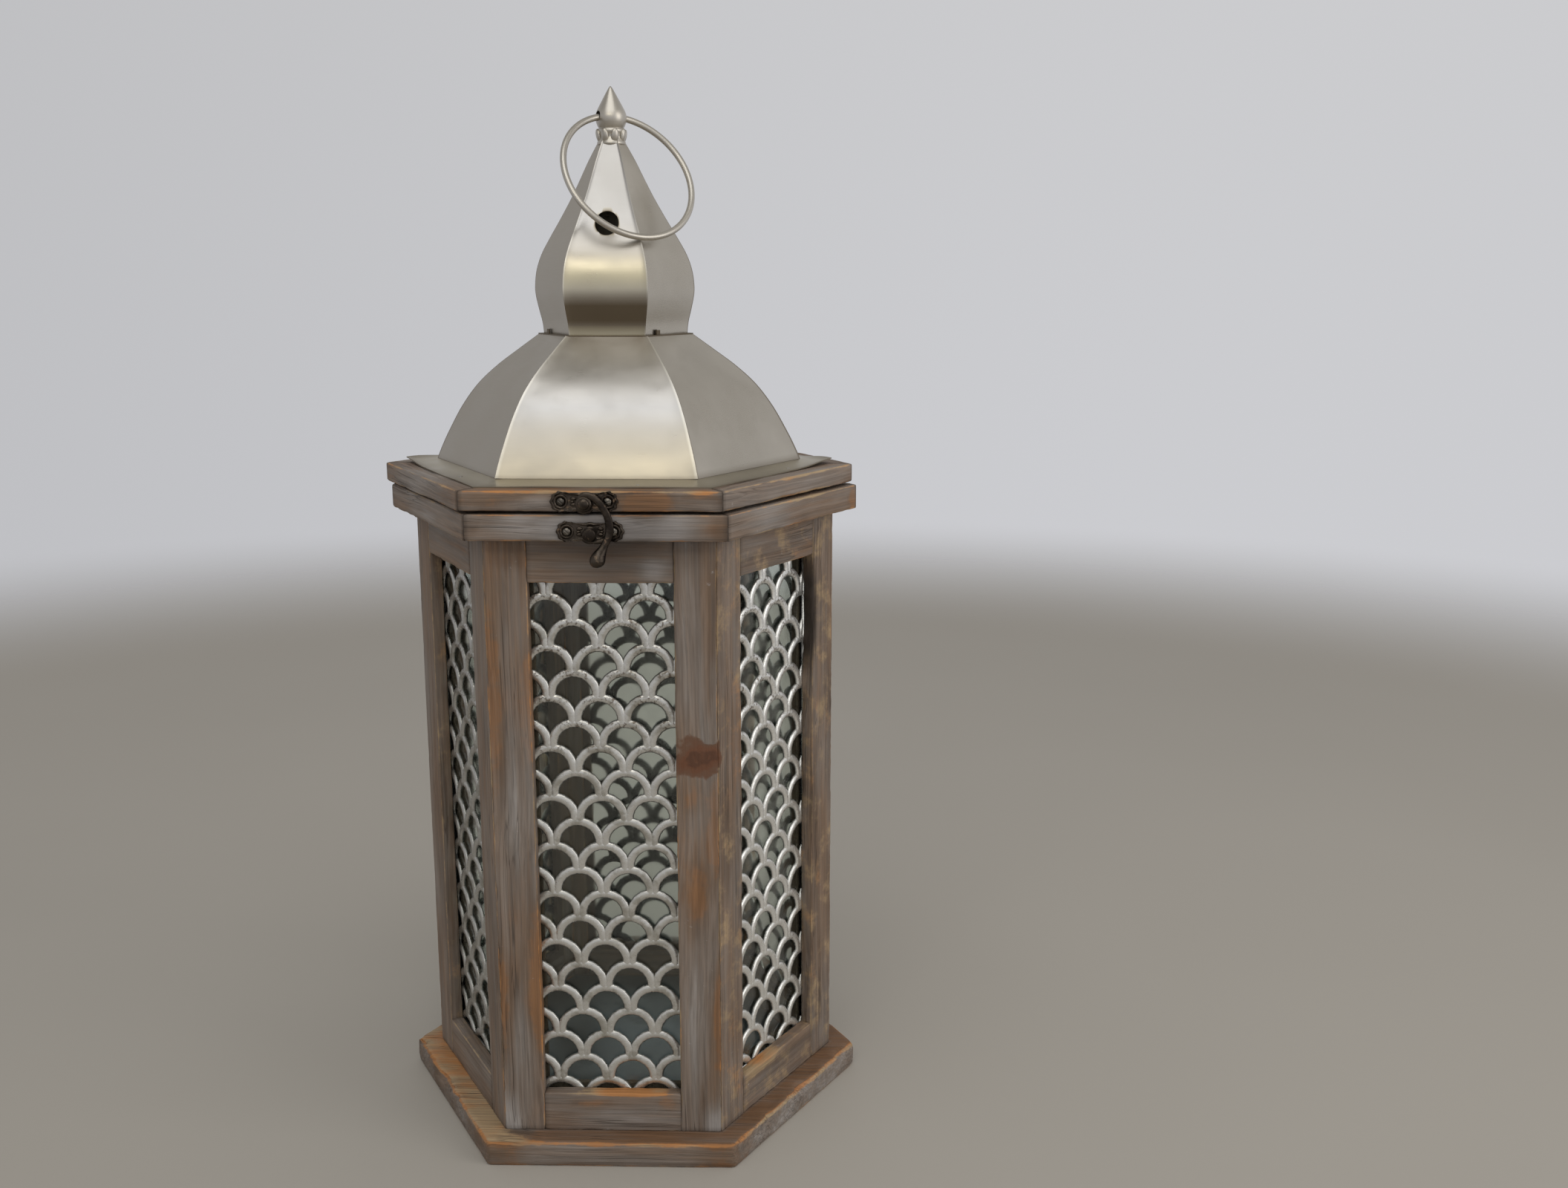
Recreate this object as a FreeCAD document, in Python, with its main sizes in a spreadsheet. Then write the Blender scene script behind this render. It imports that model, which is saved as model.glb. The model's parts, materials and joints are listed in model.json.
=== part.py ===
import FreeCAD, Part
import math
import os

import Sketcher
from FreeCAD import Placement, Rotation, Vector

# Hexagonal wooden lantern with a hinged metal roof, in millimetres.
# The origin is the middle of the underside of the base board, +Z is up and the front faces -Y.

SIZES = {
    # wooden body
    "body_side": 150.0,
    "base_overhang": 19.0,
    "base_thickness": 17.5,
    "wall": 18.0,
    "stile_width": 28.0,
    "bottom_rail_height": 28.0,
    "window_height": 358.0,
    "top_rail_height": 29.5,
    "rabbet_width": 5.0,
    "lip_depth": 9.0,
    "rim_overhang": 17.0,
    "rim_thickness": 17.0,
    "arris": 0.8,
    # windows
    "grille_thickness": 3.0,
    "glass_thickness": 2.0,
    "window_play": 0.3,
    "bead_width": 6.0,
    "scale_pitch": 33.0,
    "scale_row": 17.1,
    "scale_outer": 17.9,
    "scale_bar": 5.8,
    "scale_top_offset": 7.5,
    "scale_shift": 12.6,
    "grille_border": 3.0,
    "candle_plate_play": 3.5,
    "candle_plate_thickness": 0.8,
    # lid
    "lid_gap": 2.0,
    "lid_thickness": 13.0,
    "lid_seat_lap": 4.5,
    "lid_shift": -3.2,
    # sheet metal roof
    "sheet": 0.8,
    "flange_outer_lap": 21.5,
    "flange_inner_lap": 3.5,
    "dome_foot_inset": 36.5,
    "dome_shoulder_radius": 98.5,
    "dome_shoulder_height": 56.0,
    "dome_top_radius": 54.5,
    "dome_height": 90.0,
    "shelf_ledge": 4.0,
    "shelf_lap": 7.5,
    "onion_belly_radius": 55.8,
    "onion_belly_height": 32.0,
    "onion_waist_radius": 44.4,
    "onion_waist_height": 65.0,
    "onion_neck_radius": 27.0,
    "onion_neck_height": 96.0,
    "onion_tip_radius": 8.0,
    "onion_height": 130.5,
    "vent_radius": 8.0,
    "vent_height": 74.0,
    "tab_width": 4.0,
    "tab_length": 3.2,
    "tab_offset": 14.0,
    "tab_play": 1.1,
    "nail_radius": 1.6,
    "nail_shank": 0.8,
    "nail_length": 9.0,
    "nail_inset": 7.5,
    "nail_offset": 28.0,
    # finial and ring handle
    "collar_radius": 9.2,
    "collar_height": 7.2,
    "collar_skirt": 3.0,
    "petal_radius": 2.6,
    "collar_play": 0.3,
    "finial_foot_radius": 8.0,
    "finial_bulb_radius": 10.4,
    "finial_bulb_height": 10.0,
    "finial_height": 27.5,
    "finial_tip_radius": 0.5,
    "eye_radius": 4.0,
    "eye_height": 7.6,
    "eye_turn": 35.0,
    "ring_radius": 47.0,
    "ring_wire": 2.2,
    "ring_play": 0.3,
    "stud_radius": 2.0,
    "stud_seat": 3.0,
    "stud_end": 1.5,
    "nut_radius": 4.0,
    "nut_height": 3.2,
    "washer_radius": 9.5,
    "washer_thickness": 1.2,
    "washer_play": 0.3,
    # latch
    "latch_centre": -6.5,
    "latch_drop": 1.2,
    "plate_eye_radius": 6.4,
    "plate_eye_spacing": 29.4,
    "plate_waist": 8.0,
    "plate_boss_radius": 6.5,
    "plate_thickness": 1.2,
    "catch_centre": -3.2,
    "catch_height": 6.6,
    "catch_drop": 1.2,
    "catch_neck": 1.7,
    "catch_head_radius": 4.4,
    "catch_head_thickness": 1.6,
    "plate_spacer_radius": 4.4,
    "hook_play": 0.3,
    "hook_thickness": 2.2,
    "hook_boss_radius": 6.0,
    "hook_arc_radius": 17.4,
    "hook_arc_width": 4.4,
    "hook_arc_x": -2.0,
    "hook_arc_drop": 15.0,
    "hook_finger_width": 3.4,
    "hook_finger_play": 0.25,
    "hook_arc_from": -38.0,
    "hook_arc_span": 116.0,
    "hook_finger_from": -94.0,
    "hook_finger_span": 36.0,
    "hook_tail_heading": -111.0,
    "hook_tail_rise": 18.0,
    "hook_tail_length": 14.5,
    "hook_tail_radius": 4.9,
    "rivet_radius": 1.6,
    "rivet_head_radius": 3.4,
    "rivet_head_height": 1.6,
    "rivet_depth": 6.0,
    "screw_radius": 1.3,
    "screw_head_radius": 2.7,
    "screw_head_height": 1.1,
    "screw_head_taper": 0.6,
    "screw_length": 10.0,
    "pivot_play": 0.06,
    # hinges
    "hinge_offset": 48.0,
    "hinge_width": 25.0,
    "hinge_leaf_height": 12.0,
    "hinge_leaf": 1.0,
    "hinge_knuckle": 2.2,
    "hinge_stand_off_play": 0.2,
    "hinge_middle": 8.0,
    "hinge_knuckle_gap": 0.3,
    "hinge_pin": 0.9,
    "hinge_screw_spacing": 15.0,
    "hinge_screw_head_height": 0.6,
    "hinge_screw_head_radius": 2.2,
}

FACES = ("front", "front_right", "rear_right", "rear", "rear_left", "front_left")
CORNERS = ("front_right", "right", "rear_right", "rear_left", "left", "front_left")
FACE_STEP = 360.0 / len(FACES)
PETALS = 8
HALF_STEP = math.radians(FACE_STEP / 2)
Z_AXIS = Vector(0, 0, 1)

doc = FreeCAD.newDocument("Lantern")
sheet = doc.addObject("Spreadsheet::Sheet", "Sizes")
for row, (word, value) in enumerate(SIZES.items(), start=1):
    sheet.set(f"A{row}", word)
    sheet.set(f"B{row}", str(value))
    sheet.setAlias(f"B{row}", word)
doc.recompute()

parts = []


def size(word):
    """Return one driving dimension of the sheet."""
    return float(sheet.get(word))


def worked_out(words):
    """Return the value of an expression written in the words of the sheet."""
    value = sheet.evalExpression(words)
    return float(getattr(value, "Value", value))


def bind(thing, **words):
    """Bind properties of a document object to expressions of the sheet."""
    for prop, expression in words.items():
        thing.setExpression(prop, expression)


def keep(thing, label):
    """Take an object as a finished sub-part under its own name."""
    thing.Label = label
    parts.append(thing)
    return thing


def turned(angle, shift=Vector(0, 0, 0)):
    """Return the placement of a piece turned about the vertical axis."""
    return Placement(shift, Rotation(Z_AXIS, angle))


def group(label, members, placement=None):
    """Join separate solids in one node without fusing them."""
    compound = doc.addObject("Part::Compound", label)
    compound.Links = members
    if placement is not None:
        compound.Placement = placement
    return keep(compound, label)


# ---------------------------------------------------------------- helpers for the shapes

def draw(sketch, corners):
    """Draw a closed outline, anticlockwise, through corners given in words of the sheet.

    A corner is (x, y) or (x, y, radius). The radius makes an arc of the edge that leaves the
    corner: it bulges outwards, or inwards when the radius is written with a leading minus.
    """
    spots = [Vector(worked_out(corner[0]), worked_out(corner[1]), 0) for corner in corners]
    starts = []
    ends = []
    for index, corner in enumerate(corners):
        here = spots[index]
        there = spots[(index + 1) % len(spots)]
        if len(corner) == 2:
            edge = sketch.addGeometry(Part.LineSegment(here, there))
            starts.append((edge, 1))
            ends.append((edge, 2))
            continue
        inwards = corner[2].startswith("-")
        radius = worked_out(corner[2].lstrip("-"))
        first, last = (there, here) if inwards else (here, there)
        chord = last - first
        rise = math.sqrt(radius ** 2 - (chord.Length / 2) ** 2)
        centre = (first + last) * 0.5 + Vector(-chord.y, chord.x, 0).normalize() * rise
        begin = math.atan2(first.y - centre.y, first.x - centre.x)
        finish = math.atan2(last.y - centre.y, last.x - centre.x)
        if finish < begin:
            finish += 2 * math.pi
        circle = Part.Circle(centre, Z_AXIS, radius)
        edge = sketch.addGeometry(Part.ArcOfCircle(circle, begin, finish))
        starts.append((edge, 2 if inwards else 1))
        ends.append((edge, 1 if inwards else 2))
        bound = sketch.addConstraint(Sketcher.Constraint("Radius", edge, radius))
        sketch.setExpression(f"Constraints[{bound}]", corner[2].lstrip("-"))
    for index, corner in enumerate(corners):
        edge, point = starts[index]
        joined = starts[(index + 1) % len(starts)]
        sketch.addConstraint(Sketcher.Constraint("Coincident", *ends[index], *joined))
        across = sketch.addConstraint(Sketcher.Constraint("DistanceX", -1, 1, edge, point, spots[index].x))
        sketch.setExpression(f"Constraints[{across}]", corner[0])
        along = sketch.addConstraint(Sketcher.Constraint("DistanceY", -1, 1, edge, point, spots[index].y))
        sketch.setExpression(f"Constraints[{along}]", corner[1])


def sketched_body(name, role, corners):
    """Start a body with one closed sketch on one of its own planes."""
    body = doc.addObject("PartDesign::Body", name)
    sketch = body.newObject("Sketcher::SketchObject", f"{name}_outline")
    plane = next(face for face in body.Origin.OriginFeatures if face.Role == role)
    sketch.AttachmentSupport = (plane, [""])
    sketch.MapMode = "FlatFace"
    draw(sketch, corners)
    doc.recompute()
    return body, sketch


def padded(name, corners, length):
    """Make a straight bar: an outline in plan, padded upwards."""
    body, sketch = sketched_body(name, "XY_Plane", corners)
    pad = body.newObject("PartDesign::Pad", f"{name}_pad")
    pad.Profile = sketch
    bind(pad, Length=length)
    doc.recompute()
    return body, pad


def soften(body, feature, radius, wanted):
    """Round those edges of a feature that the test picks."""
    names = [f"Edge{n}" for n, edge in enumerate(feature.Shape.Edges, start=1) if wanted(edge)]
    fillet = body.newObject("PartDesign::Fillet", f"{feature.Name}_arris")
    fillet.Base = (feature, names)
    bind(fillet, Radius=radius)
    doc.recompute()


def on_front(edge, depth):
    """Tell whether an edge lies in the plane y = -depth."""
    return all(abs(vertex.Point.y + depth) < 1e-4 for vertex in edge.Vertexes)


def is_upright(edge):
    """Tell whether an edge runs straight up."""
    first, last = (vertex.Point for vertex in edge.Vertexes)
    return math.hypot(first.x - last.x, first.y - last.y) < 1e-6


def box(name, corner, far, placement=None):
    """Make a box between two corners, each three expressions of the sheet."""
    block = doc.addObject("Part::Box", name)
    spans = [f"({b}) - ({a})" for a, b in zip(corner, far)]
    bind(block, Length=spans[0], Width=spans[1], Height=spans[2])
    start = Placement(Vector(*map(worked_out, corner)), Rotation())
    block.Placement = placement.multiply(start) if placement else start
    return block


def cylinder(name, radius, height, base=Vector(0, 0, 0), rotation=None, angle=360):
    """Make a cylinder, or a sector of one, from expressions of the sheet."""
    rod = doc.addObject("Part::Cylinder", name)
    bind(rod, Radius=radius, Height=height)
    rod.Angle = angle
    rod.Placement = Placement(base, rotation or Rotation())
    return rod


def cut(name, whole, tool):
    """Take one shape away from another."""
    result = doc.addObject("Part::Cut", name)
    result.Base = whole
    result.Tool = tool
    return result


def fuse(name, shapes):
    """Join shapes that are one real piece."""
    result = doc.addObject("Part::MultiFuse", name)
    result.Shapes = shapes
    return result


# ---------------------------------------------------------------- heights and depths

# in words of the sheet, for what is bound to them
BASE_SIDE_WORDS = "(Sizes.body_side + Sizes.base_overhang)"
RIM_SIDE_WORDS = "(Sizes.body_side + Sizes.rim_overhang)"
WINDOW_BOTTOM_WORDS = "(Sizes.base_thickness + Sizes.bottom_rail_height)"
WINDOW_TOP_WORDS = f"({WINDOW_BOTTOM_WORDS} + Sizes.window_height)"
WALL_TOP_WORDS = f"({WINDOW_TOP_WORDS} + Sizes.top_rail_height)"
HALF_WINDOW = "(Sizes.body_side / 2 - Sizes.stile_width)"
BODY_DEPTH_WORDS = "(Sizes.body_side * cos(30 deg))"
INNER_WORDS = f"({BODY_DEPTH_WORDS} - Sizes.wall)"
LIP_WORDS = f"({BODY_DEPTH_WORDS} - Sizes.lip_depth)"
REBATE_WORDS = f"({HALF_WINDOW} + Sizes.rabbet_width)"
DOME_FOOT_WORDS = f"({RIM_SIDE_WORDS} - Sizes.dome_foot_inset)"
LID_OPENING_WORDS = f"({DOME_FOOT_WORDS} - Sizes.lid_seat_lap)"
FLANGE_WORDS = f"({DOME_FOOT_WORDS} + Sizes.flange_outer_lap)"
ONION_FOOT_WORDS = "(Sizes.dome_top_radius - Sizes.shelf_ledge)"
HOOK_GAP_WORDS = "(Sizes.screw_head_height + Sizes.hook_play)"
PIVOT_RISE_WORDS = (
    "(Sizes.rim_thickness + Sizes.lid_gap + Sizes.lid_thickness / 2 - Sizes.latch_drop"
    " - Sizes.catch_height + Sizes.catch_drop)"
)

# as numbers, for what is placed at them
COS = math.cos(HALF_STEP)
BODY_DEPTH = worked_out(BODY_DEPTH_WORDS)
RIM_DEPTH = worked_out(RIM_SIDE_WORDS) * COS
WINDOW_BOTTOM = worked_out(WINDOW_BOTTOM_WORDS)
WINDOW_TOP = worked_out(WINDOW_TOP_WORDS)
WALL_TOP = worked_out(WALL_TOP_WORDS)
RIM_TOP = WALL_TOP + size("rim_thickness")
LID_BOTTOM = RIM_TOP + size("lid_gap")
LID_TOP = LID_BOTTOM + size("lid_thickness")
DOME_TOP = LID_TOP + size("sheet") + size("dome_height")
ONION_BASE = DOME_TOP + size("sheet")
ONION_TOP = ONION_BASE + size("onion_height")
FINIAL_BASE = ONION_TOP + size("sheet") / 2 + size("collar_height")
LID_AXIS = Vector(size("lid_shift"), 0, 0)


# ---------------------------------------------------------------- wooden body

def make_base_board():
    """A hexagonal board with softened edges, on which the whole lantern stands."""
    board = doc.addObject("Part::Prism", "base_blank")
    board.Polygon = len(FACES)
    bind(board, Circumradius=BASE_SIDE_WORDS, Height="Sizes.base_thickness")
    doc.recompute()
    rounded = doc.addObject("Part::Fillet", "base_rounded")
    rounded.Base = board
    radius = size("arris")
    rounded.Edges = [(n, radius, radius) for n in range(1, len(board.Shape.Edges) + 1)]
    keep(rounded, "base_board")


def make_candle_plate():
    """A thin hexagonal metal plate on the base board, where the candle stands."""
    plate = doc.addObject("Part::Prism", "candle_plate_blank")
    plate.Polygon = len(FACES)
    bind(
        plate,
        Circumradius=f"{INNER_WORDS} / cos(30 deg) - Sizes.candle_plate_play",
        Height="Sizes.candle_plate_thickness",
    )
    plate.Placement = Placement(Vector(0, 0, size("base_thickness")), Rotation())
    keep(plate, "candle_plate")


def make_stile(name, mirrored, angle):
    """Half of a corner post: a rabbeted stile, mitred down the corner."""
    corners = [
        (HALF_WINDOW, f"-{BODY_DEPTH_WORDS}"),
        ("Sizes.body_side / 2", f"-{BODY_DEPTH_WORDS}"),
        (f"{INNER_WORDS} * tan(30 deg)", f"-{INNER_WORDS}"),
        (REBATE_WORDS, f"-{INNER_WORDS}"),
        (REBATE_WORDS, f"-{LIP_WORDS}"),
        (HALF_WINDOW, f"-{LIP_WORDS}"),
    ]
    if mirrored:
        corners = [(f"-({x})", y) for x, y in reversed(corners)]
    body, pad = padded(name, corners, f"{WALL_TOP_WORDS} - Sizes.base_thickness")
    soften(body, pad, "Sizes.arris", lambda edge: on_front(edge, BODY_DEPTH) and is_upright(edge))
    body.Placement = turned(angle, Vector(0, 0, size("base_thickness")))
    return body


def make_posts():
    """Six corner posts, each of two stiles that meet in a mitre."""
    for index, corner in enumerate(CORNERS):
        left = make_stile(f"stile_{corner}_a", False, index * FACE_STEP)
        right = make_stile(f"stile_{corner}_b", True, (index + 1) * FACE_STEP)
        group(f"post_{corner}", [left, right])


def make_rail(name, angle, bottom, top, back_bottom, back_top, edge_height):
    """A rail between two stiles: a front lip, and a back with tongues in the stiles' rabbets."""
    front = box(
        f"{name}_lip",
        (f"-{HALF_WINDOW}", f"-{BODY_DEPTH_WORDS}", bottom),
        (HALF_WINDOW, f"-{LIP_WORDS}", top),
    )
    back = box(
        f"{name}_back",
        (f"-{REBATE_WORDS}", f"-{LIP_WORDS}", back_bottom),
        (REBATE_WORDS, f"-{INNER_WORDS}", back_top),
    )
    blank = fuse(f"{name}_blank", [front, back])
    doc.recompute()
    rounded = doc.addObject("Part::Fillet", name)
    rounded.Base = blank
    radius = size("arris")
    rounded.Edges = [
        (n, radius, radius)
        for n, edge in enumerate(blank.Shape.Edges, start=1)
        if on_front(edge, BODY_DEPTH) and abs(edge.CenterOfMass.z - edge_height) < 1e-4
    ]
    rounded.Placement = turned(angle)
    return rounded


def make_rails():
    """Top and bottom rails of the six window frames."""
    tops = []
    bottoms = []
    for index in range(len(FACES)):
        angle = index * FACE_STEP
        tops.append(make_rail(
            f"top_rail_{index}", angle, WINDOW_TOP_WORDS, WALL_TOP_WORDS,
            f"{WINDOW_TOP_WORDS} + Sizes.rabbet_width", WALL_TOP_WORDS, WINDOW_TOP,
        ))
        bottoms.append(make_rail(
            f"bottom_rail_{index}", angle, "Sizes.base_thickness", WINDOW_BOTTOM_WORDS,
            "Sizes.base_thickness", f"{WINDOW_BOTTOM_WORDS} - Sizes.rabbet_width", WINDOW_BOTTOM,
        ))
    group("top_rails", tops)
    group("bottom_rails", bottoms)


def make_ring_board(name, side_words, inner_words, thickness, placement):
    """One mitred board of a six-sided frame, rounded round its outer face."""
    corners = [
        (f"-({side_words}) / 2", f"-({side_words}) * cos(30 deg)"),
        (f"({side_words}) / 2", f"-({side_words}) * cos(30 deg)"),
        (f"({inner_words}) * tan(30 deg)", f"-({inner_words})"),
        (f"-({inner_words}) * tan(30 deg)", f"-({inner_words})"),
    ]
    body, pad = padded(name, corners, thickness)
    depth = worked_out(f"({side_words}) * cos(30 deg)")
    soften(body, pad, "Sizes.arris", lambda edge: on_front(edge, depth))
    body.Placement = placement
    return body


def make_frames():
    """The rim on top of the walls and the frame of the lid, each of six mitred boards."""
    rim = []
    lid = []
    opening = f"{LID_OPENING_WORDS} * cos(30 deg)"
    for index in range(len(FACES)):
        angle = index * FACE_STEP
        rim.append(make_ring_board(
            f"rim_board_{index}", RIM_SIDE_WORDS, INNER_WORDS, "Sizes.rim_thickness",
            turned(angle, Vector(0, 0, WALL_TOP)),
        ))
        lid.append(make_ring_board(
            f"lid_board_{index}", RIM_SIDE_WORDS, opening, "Sizes.lid_thickness",
            turned(angle, Vector(0, 0, LID_BOTTOM) + LID_AXIS),
        ))
    return rim, lid


# ---------------------------------------------------------------- windows

def scale_cell(centre):
    """Return one opening of the fish-scale grille: an arch over the backs of two lower arches."""
    half_pitch = size("scale_pitch") / 2
    row = size("scale_row")
    outer = size("scale_outer")
    inner = outer - size("scale_bar")
    arch = Part.Circle(centre, Z_AXIS, inner)
    lower_left = Part.Circle(centre + Vector(-half_pitch, -row, 0), Z_AXIS, outer)
    lower_right = Part.Circle(centre + Vector(half_pitch, -row, 0), Z_AXIS, outer)
    right = max((Vector(p.X, p.Y, p.Z) for p in arch.intersect(lower_right)), key=lambda p: p.y)
    left = max((Vector(p.X, p.Y, p.Z) for p in arch.intersect(lower_left)), key=lambda p: p.y)
    cusp = centre + Vector(0, math.sqrt(outer ** 2 - half_pitch ** 2) - row, 0)
    crown = centre + Vector(0, inner, 0)
    left_back = lower_left.Center + (left + cusp - lower_left.Center * 2).normalize() * outer
    right_back = lower_right.Center + (right + cusp - lower_right.Center * 2).normalize() * outer
    edges = [
        Part.Arc(right, crown, left).toShape(),
        Part.Arc(left, left_back, cusp).toShape(),
        Part.Arc(cusp, right_back, right).toShape(),
    ]
    return Part.Face(Part.Wire(edges))


def grille_face():
    """Return the flat outline of a grille with its rows of overlapping scales cut out."""
    half_width = size("body_side") / 2 - size("stile_width") + size("rabbet_width") - size("window_play")
    low = WINDOW_BOTTOM - size("rabbet_width") + size("window_play")
    high = WINDOW_TOP + size("rabbet_width") - size("window_play")
    border = size("grille_border")
    sheet_face = Part.makePlane(2 * half_width, high - low, Vector(-half_width, low, 0))
    field = Part.makePlane(
        2 * (half_width - border), high - low - 2 * border, Vector(border - half_width, low + border, 0),
    )
    first_row = WINDOW_TOP - size("scale_top_offset") - size("scale_outer") + size("scale_row")
    rows = math.ceil((first_row - low) / size("scale_row")) + 2
    columns = math.ceil(half_width / size("scale_pitch")) + 2
    cells = []
    for row in range(-1, rows):
        shift = size("scale_shift") + size("scale_pitch") / 2 * (row % 2)
        for column in range(-columns, columns + 1):
            middle = Vector(column * size("scale_pitch") + shift, first_row - row * size("scale_row"), 0)
            cell = scale_cell(middle).common(field)
            cells.extend(face for face in cell.Faces if face.Area > 1.0)
    return sheet_face.cut(Part.makeCompound(cells))


def make_windows():
    """Grilles, glass panes and the beads that hold them in the rabbets."""
    blank = doc.addObject("Part::Feature", "grille_outline")
    blank.Shape = grille_face()
    standing = Rotation(Vector(1, 0, 0), 90)
    beads = []
    glass_front = f"({LIP_WORDS} - Sizes.grille_thickness)"
    glass_back = f"({glass_front} - Sizes.glass_thickness)"
    clear = f"({REBATE_WORDS} - Sizes.window_play)"
    low = f"({WINDOW_BOTTOM_WORDS} - Sizes.rabbet_width)"
    high = f"({WINDOW_TOP_WORDS} + Sizes.rabbet_width)"
    for index, face in enumerate(FACES):
        angle = index * FACE_STEP
        grille = doc.addObject("Part::Extrusion", f"grille_{face}")
        grille.Base = blank
        grille.DirMode = "Custom"
        grille.Dir = Z_AXIS
        bind(grille, LengthFwd="Sizes.grille_thickness")
        seat = Placement(Vector(0, size("grille_thickness") - worked_out(LIP_WORDS), 0), standing)
        grille.Placement = turned(angle).multiply(seat)
        keep(grille, f"grille_{face}")
        pane = box(
            f"pane_{face}",
            (f"-{clear}", f"-{glass_front}", f"{low} + Sizes.window_play"),
            (clear, f"-{glass_back}", f"{high} - Sizes.window_play"),
            turned(angle),
        )
        keep(pane, f"glass_{face}")
        beads += make_bead(index, glass_back, low, high)
    group("glazing_beads", beads)


def make_bead(index, front, low, high):
    """Four wooden strips behind one pane, against the sides of its rabbet."""
    inner = f"({REBATE_WORDS} - Sizes.bead_width)"
    angle = turned(index * FACE_STEP)
    return [
        box(f"bead_left_{index}", (f"-{REBATE_WORDS}", f"-{front}", low),
            (f"-{inner}", f"-{INNER_WORDS}", high), angle),
        box(f"bead_right_{index}", (inner, f"-{front}", low),
            (REBATE_WORDS, f"-{INNER_WORDS}", high), angle),
        box(f"bead_bottom_{index}", (f"-{inner}", f"-{front}", low),
            (inner, f"-{INNER_WORDS}", f"{low} + Sizes.bead_width"), angle),
        box(f"bead_top_{index}", (f"-{inner}", f"-{front}", f"{high} - Sizes.bead_width"),
            (inner, f"-{INNER_WORDS}", high), angle),
    ]


# ---------------------------------------------------------------- sheet metal roof

def ring_plate(label, outer, inner, bottom):
    """A flat six-sided ring of sheet, level at a given height above the lid's axis."""
    plate = doc.addObject("Part::Prism", f"{label}_outer")
    plate.Polygon = len(FACES)
    bind(plate, Circumradius=outer, Height="Sizes.sheet")
    hole = doc.addObject("Part::Prism", f"{label}_inner")
    hole.Polygon = len(FACES)
    bind(hole, Circumradius=inner, Height="Sizes.sheet")
    ring = cut(f"{label}_ring", plate, hole)
    ring.Placement = Placement(Vector(0, 0, bottom) + LID_AXIS, Rotation())
    return ring


def sheet_profile(stations):
    """Return the upright section of a bent sheet through stations (corner radius, height).

    The stations come in threes along arcs that share their ends. The section stands in the
    plane through the middle of the front panel, so a corner radius counts times cos 30.
    """
    outside = [Vector(0, -radius * COS, height) for radius, height in stations]
    inside = [point + Vector(0, size("sheet"), 0) for point in outside]
    edges = []
    for line in (outside, inside):
        for start in range(0, len(line) - 2, 2):
            edges.append(Part.Arc(*line[start:start + 3]).toShape())
    edges.append(Part.LineSegment(outside[0], inside[0]).toShape())
    edges.append(Part.LineSegment(outside[-1], inside[-1]).toShape())
    return Part.Face(Part.Wire(Part.sortEdges(edges)[0]))


def onion_stations():
    """Return the corner radii and heights that the onion's two arcs run through."""
    return [
        (worked_out(ONION_FOOT_WORDS), ONION_BASE),
        (size("onion_belly_radius"), ONION_BASE + size("onion_belly_height")),
        (size("onion_waist_radius"), ONION_BASE + size("onion_waist_height")),
        (size("onion_neck_radius"), ONION_BASE + size("onion_neck_height")),
        (size("onion_tip_radius"), ONION_TOP),
    ]


def make_panels(name, stations, vents):
    """Six curved panels that meet along the corner seams; some have a vent hole."""
    reach = max(radius for radius, height in stations)
    level = min(height for radius, height in stations)
    rise = max(height for radius, height in stations) - level
    profile = sheet_profile(stations)
    bent = profile.copy()
    bent.translate(Vector(-reach, 0, 0))
    bent = bent.extrude(Vector(2 * reach, 0, 0))
    tip = Vector(0, 0, level)
    far = 2 * reach
    outline = [tip, tip + Vector(-far / 2, -far * COS, 0), tip + Vector(far / 2, -far * COS, 0), tip]
    sector = Part.Face(Part.makePolygon(outline)).extrude(Vector(0, 0, rise))
    panel = bent.common(sector).Solids[0]
    vent = Part.makeCylinder(
        size("vent_radius"), far, Vector(0, 0, ONION_BASE + size("vent_height")), Vector(0, -1, 0),
    )
    for index, face in enumerate(FACES):
        piece = doc.addObject("Part::Feature", f"{name}_{face}")
        piece.Shape = panel.cut(vent).Solids[0] if face in vents else panel
        piece.Placement = turned(index * FACE_STEP, LID_AXIS)
        keep(piece, f"{name}_{face}")


def make_roof():
    """Flange, lower dome, shelf and upper onion of bent sheet."""
    foot = LID_TOP + size("sheet")
    flange = ring_plate("flange", FLANGE_WORDS, f"{DOME_FOOT_WORDS} - Sizes.flange_inner_lap", LID_TOP)
    nails, nail_holes = make_nails()
    keep(cut("flange_drilled", flange, fuse("flange_holes", nail_holes)), "roof_flange")
    group("roof_nails", nails)
    make_panels("dome", [
        (worked_out(DOME_FOOT_WORDS), foot),
        (size("dome_shoulder_radius"), foot + size("dome_shoulder_height")),
        (size("dome_top_radius"), DOME_TOP),
    ], ())
    shelf = ring_plate("shelf", "Sizes.dome_top_radius", f"{ONION_FOOT_WORDS} - Sizes.shelf_lap", DOME_TOP)
    keep(shelf, "onion_shelf")
    make_panels("onion", onion_stations(), ("front",))
    make_tabs()
    return nail_holes


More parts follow.
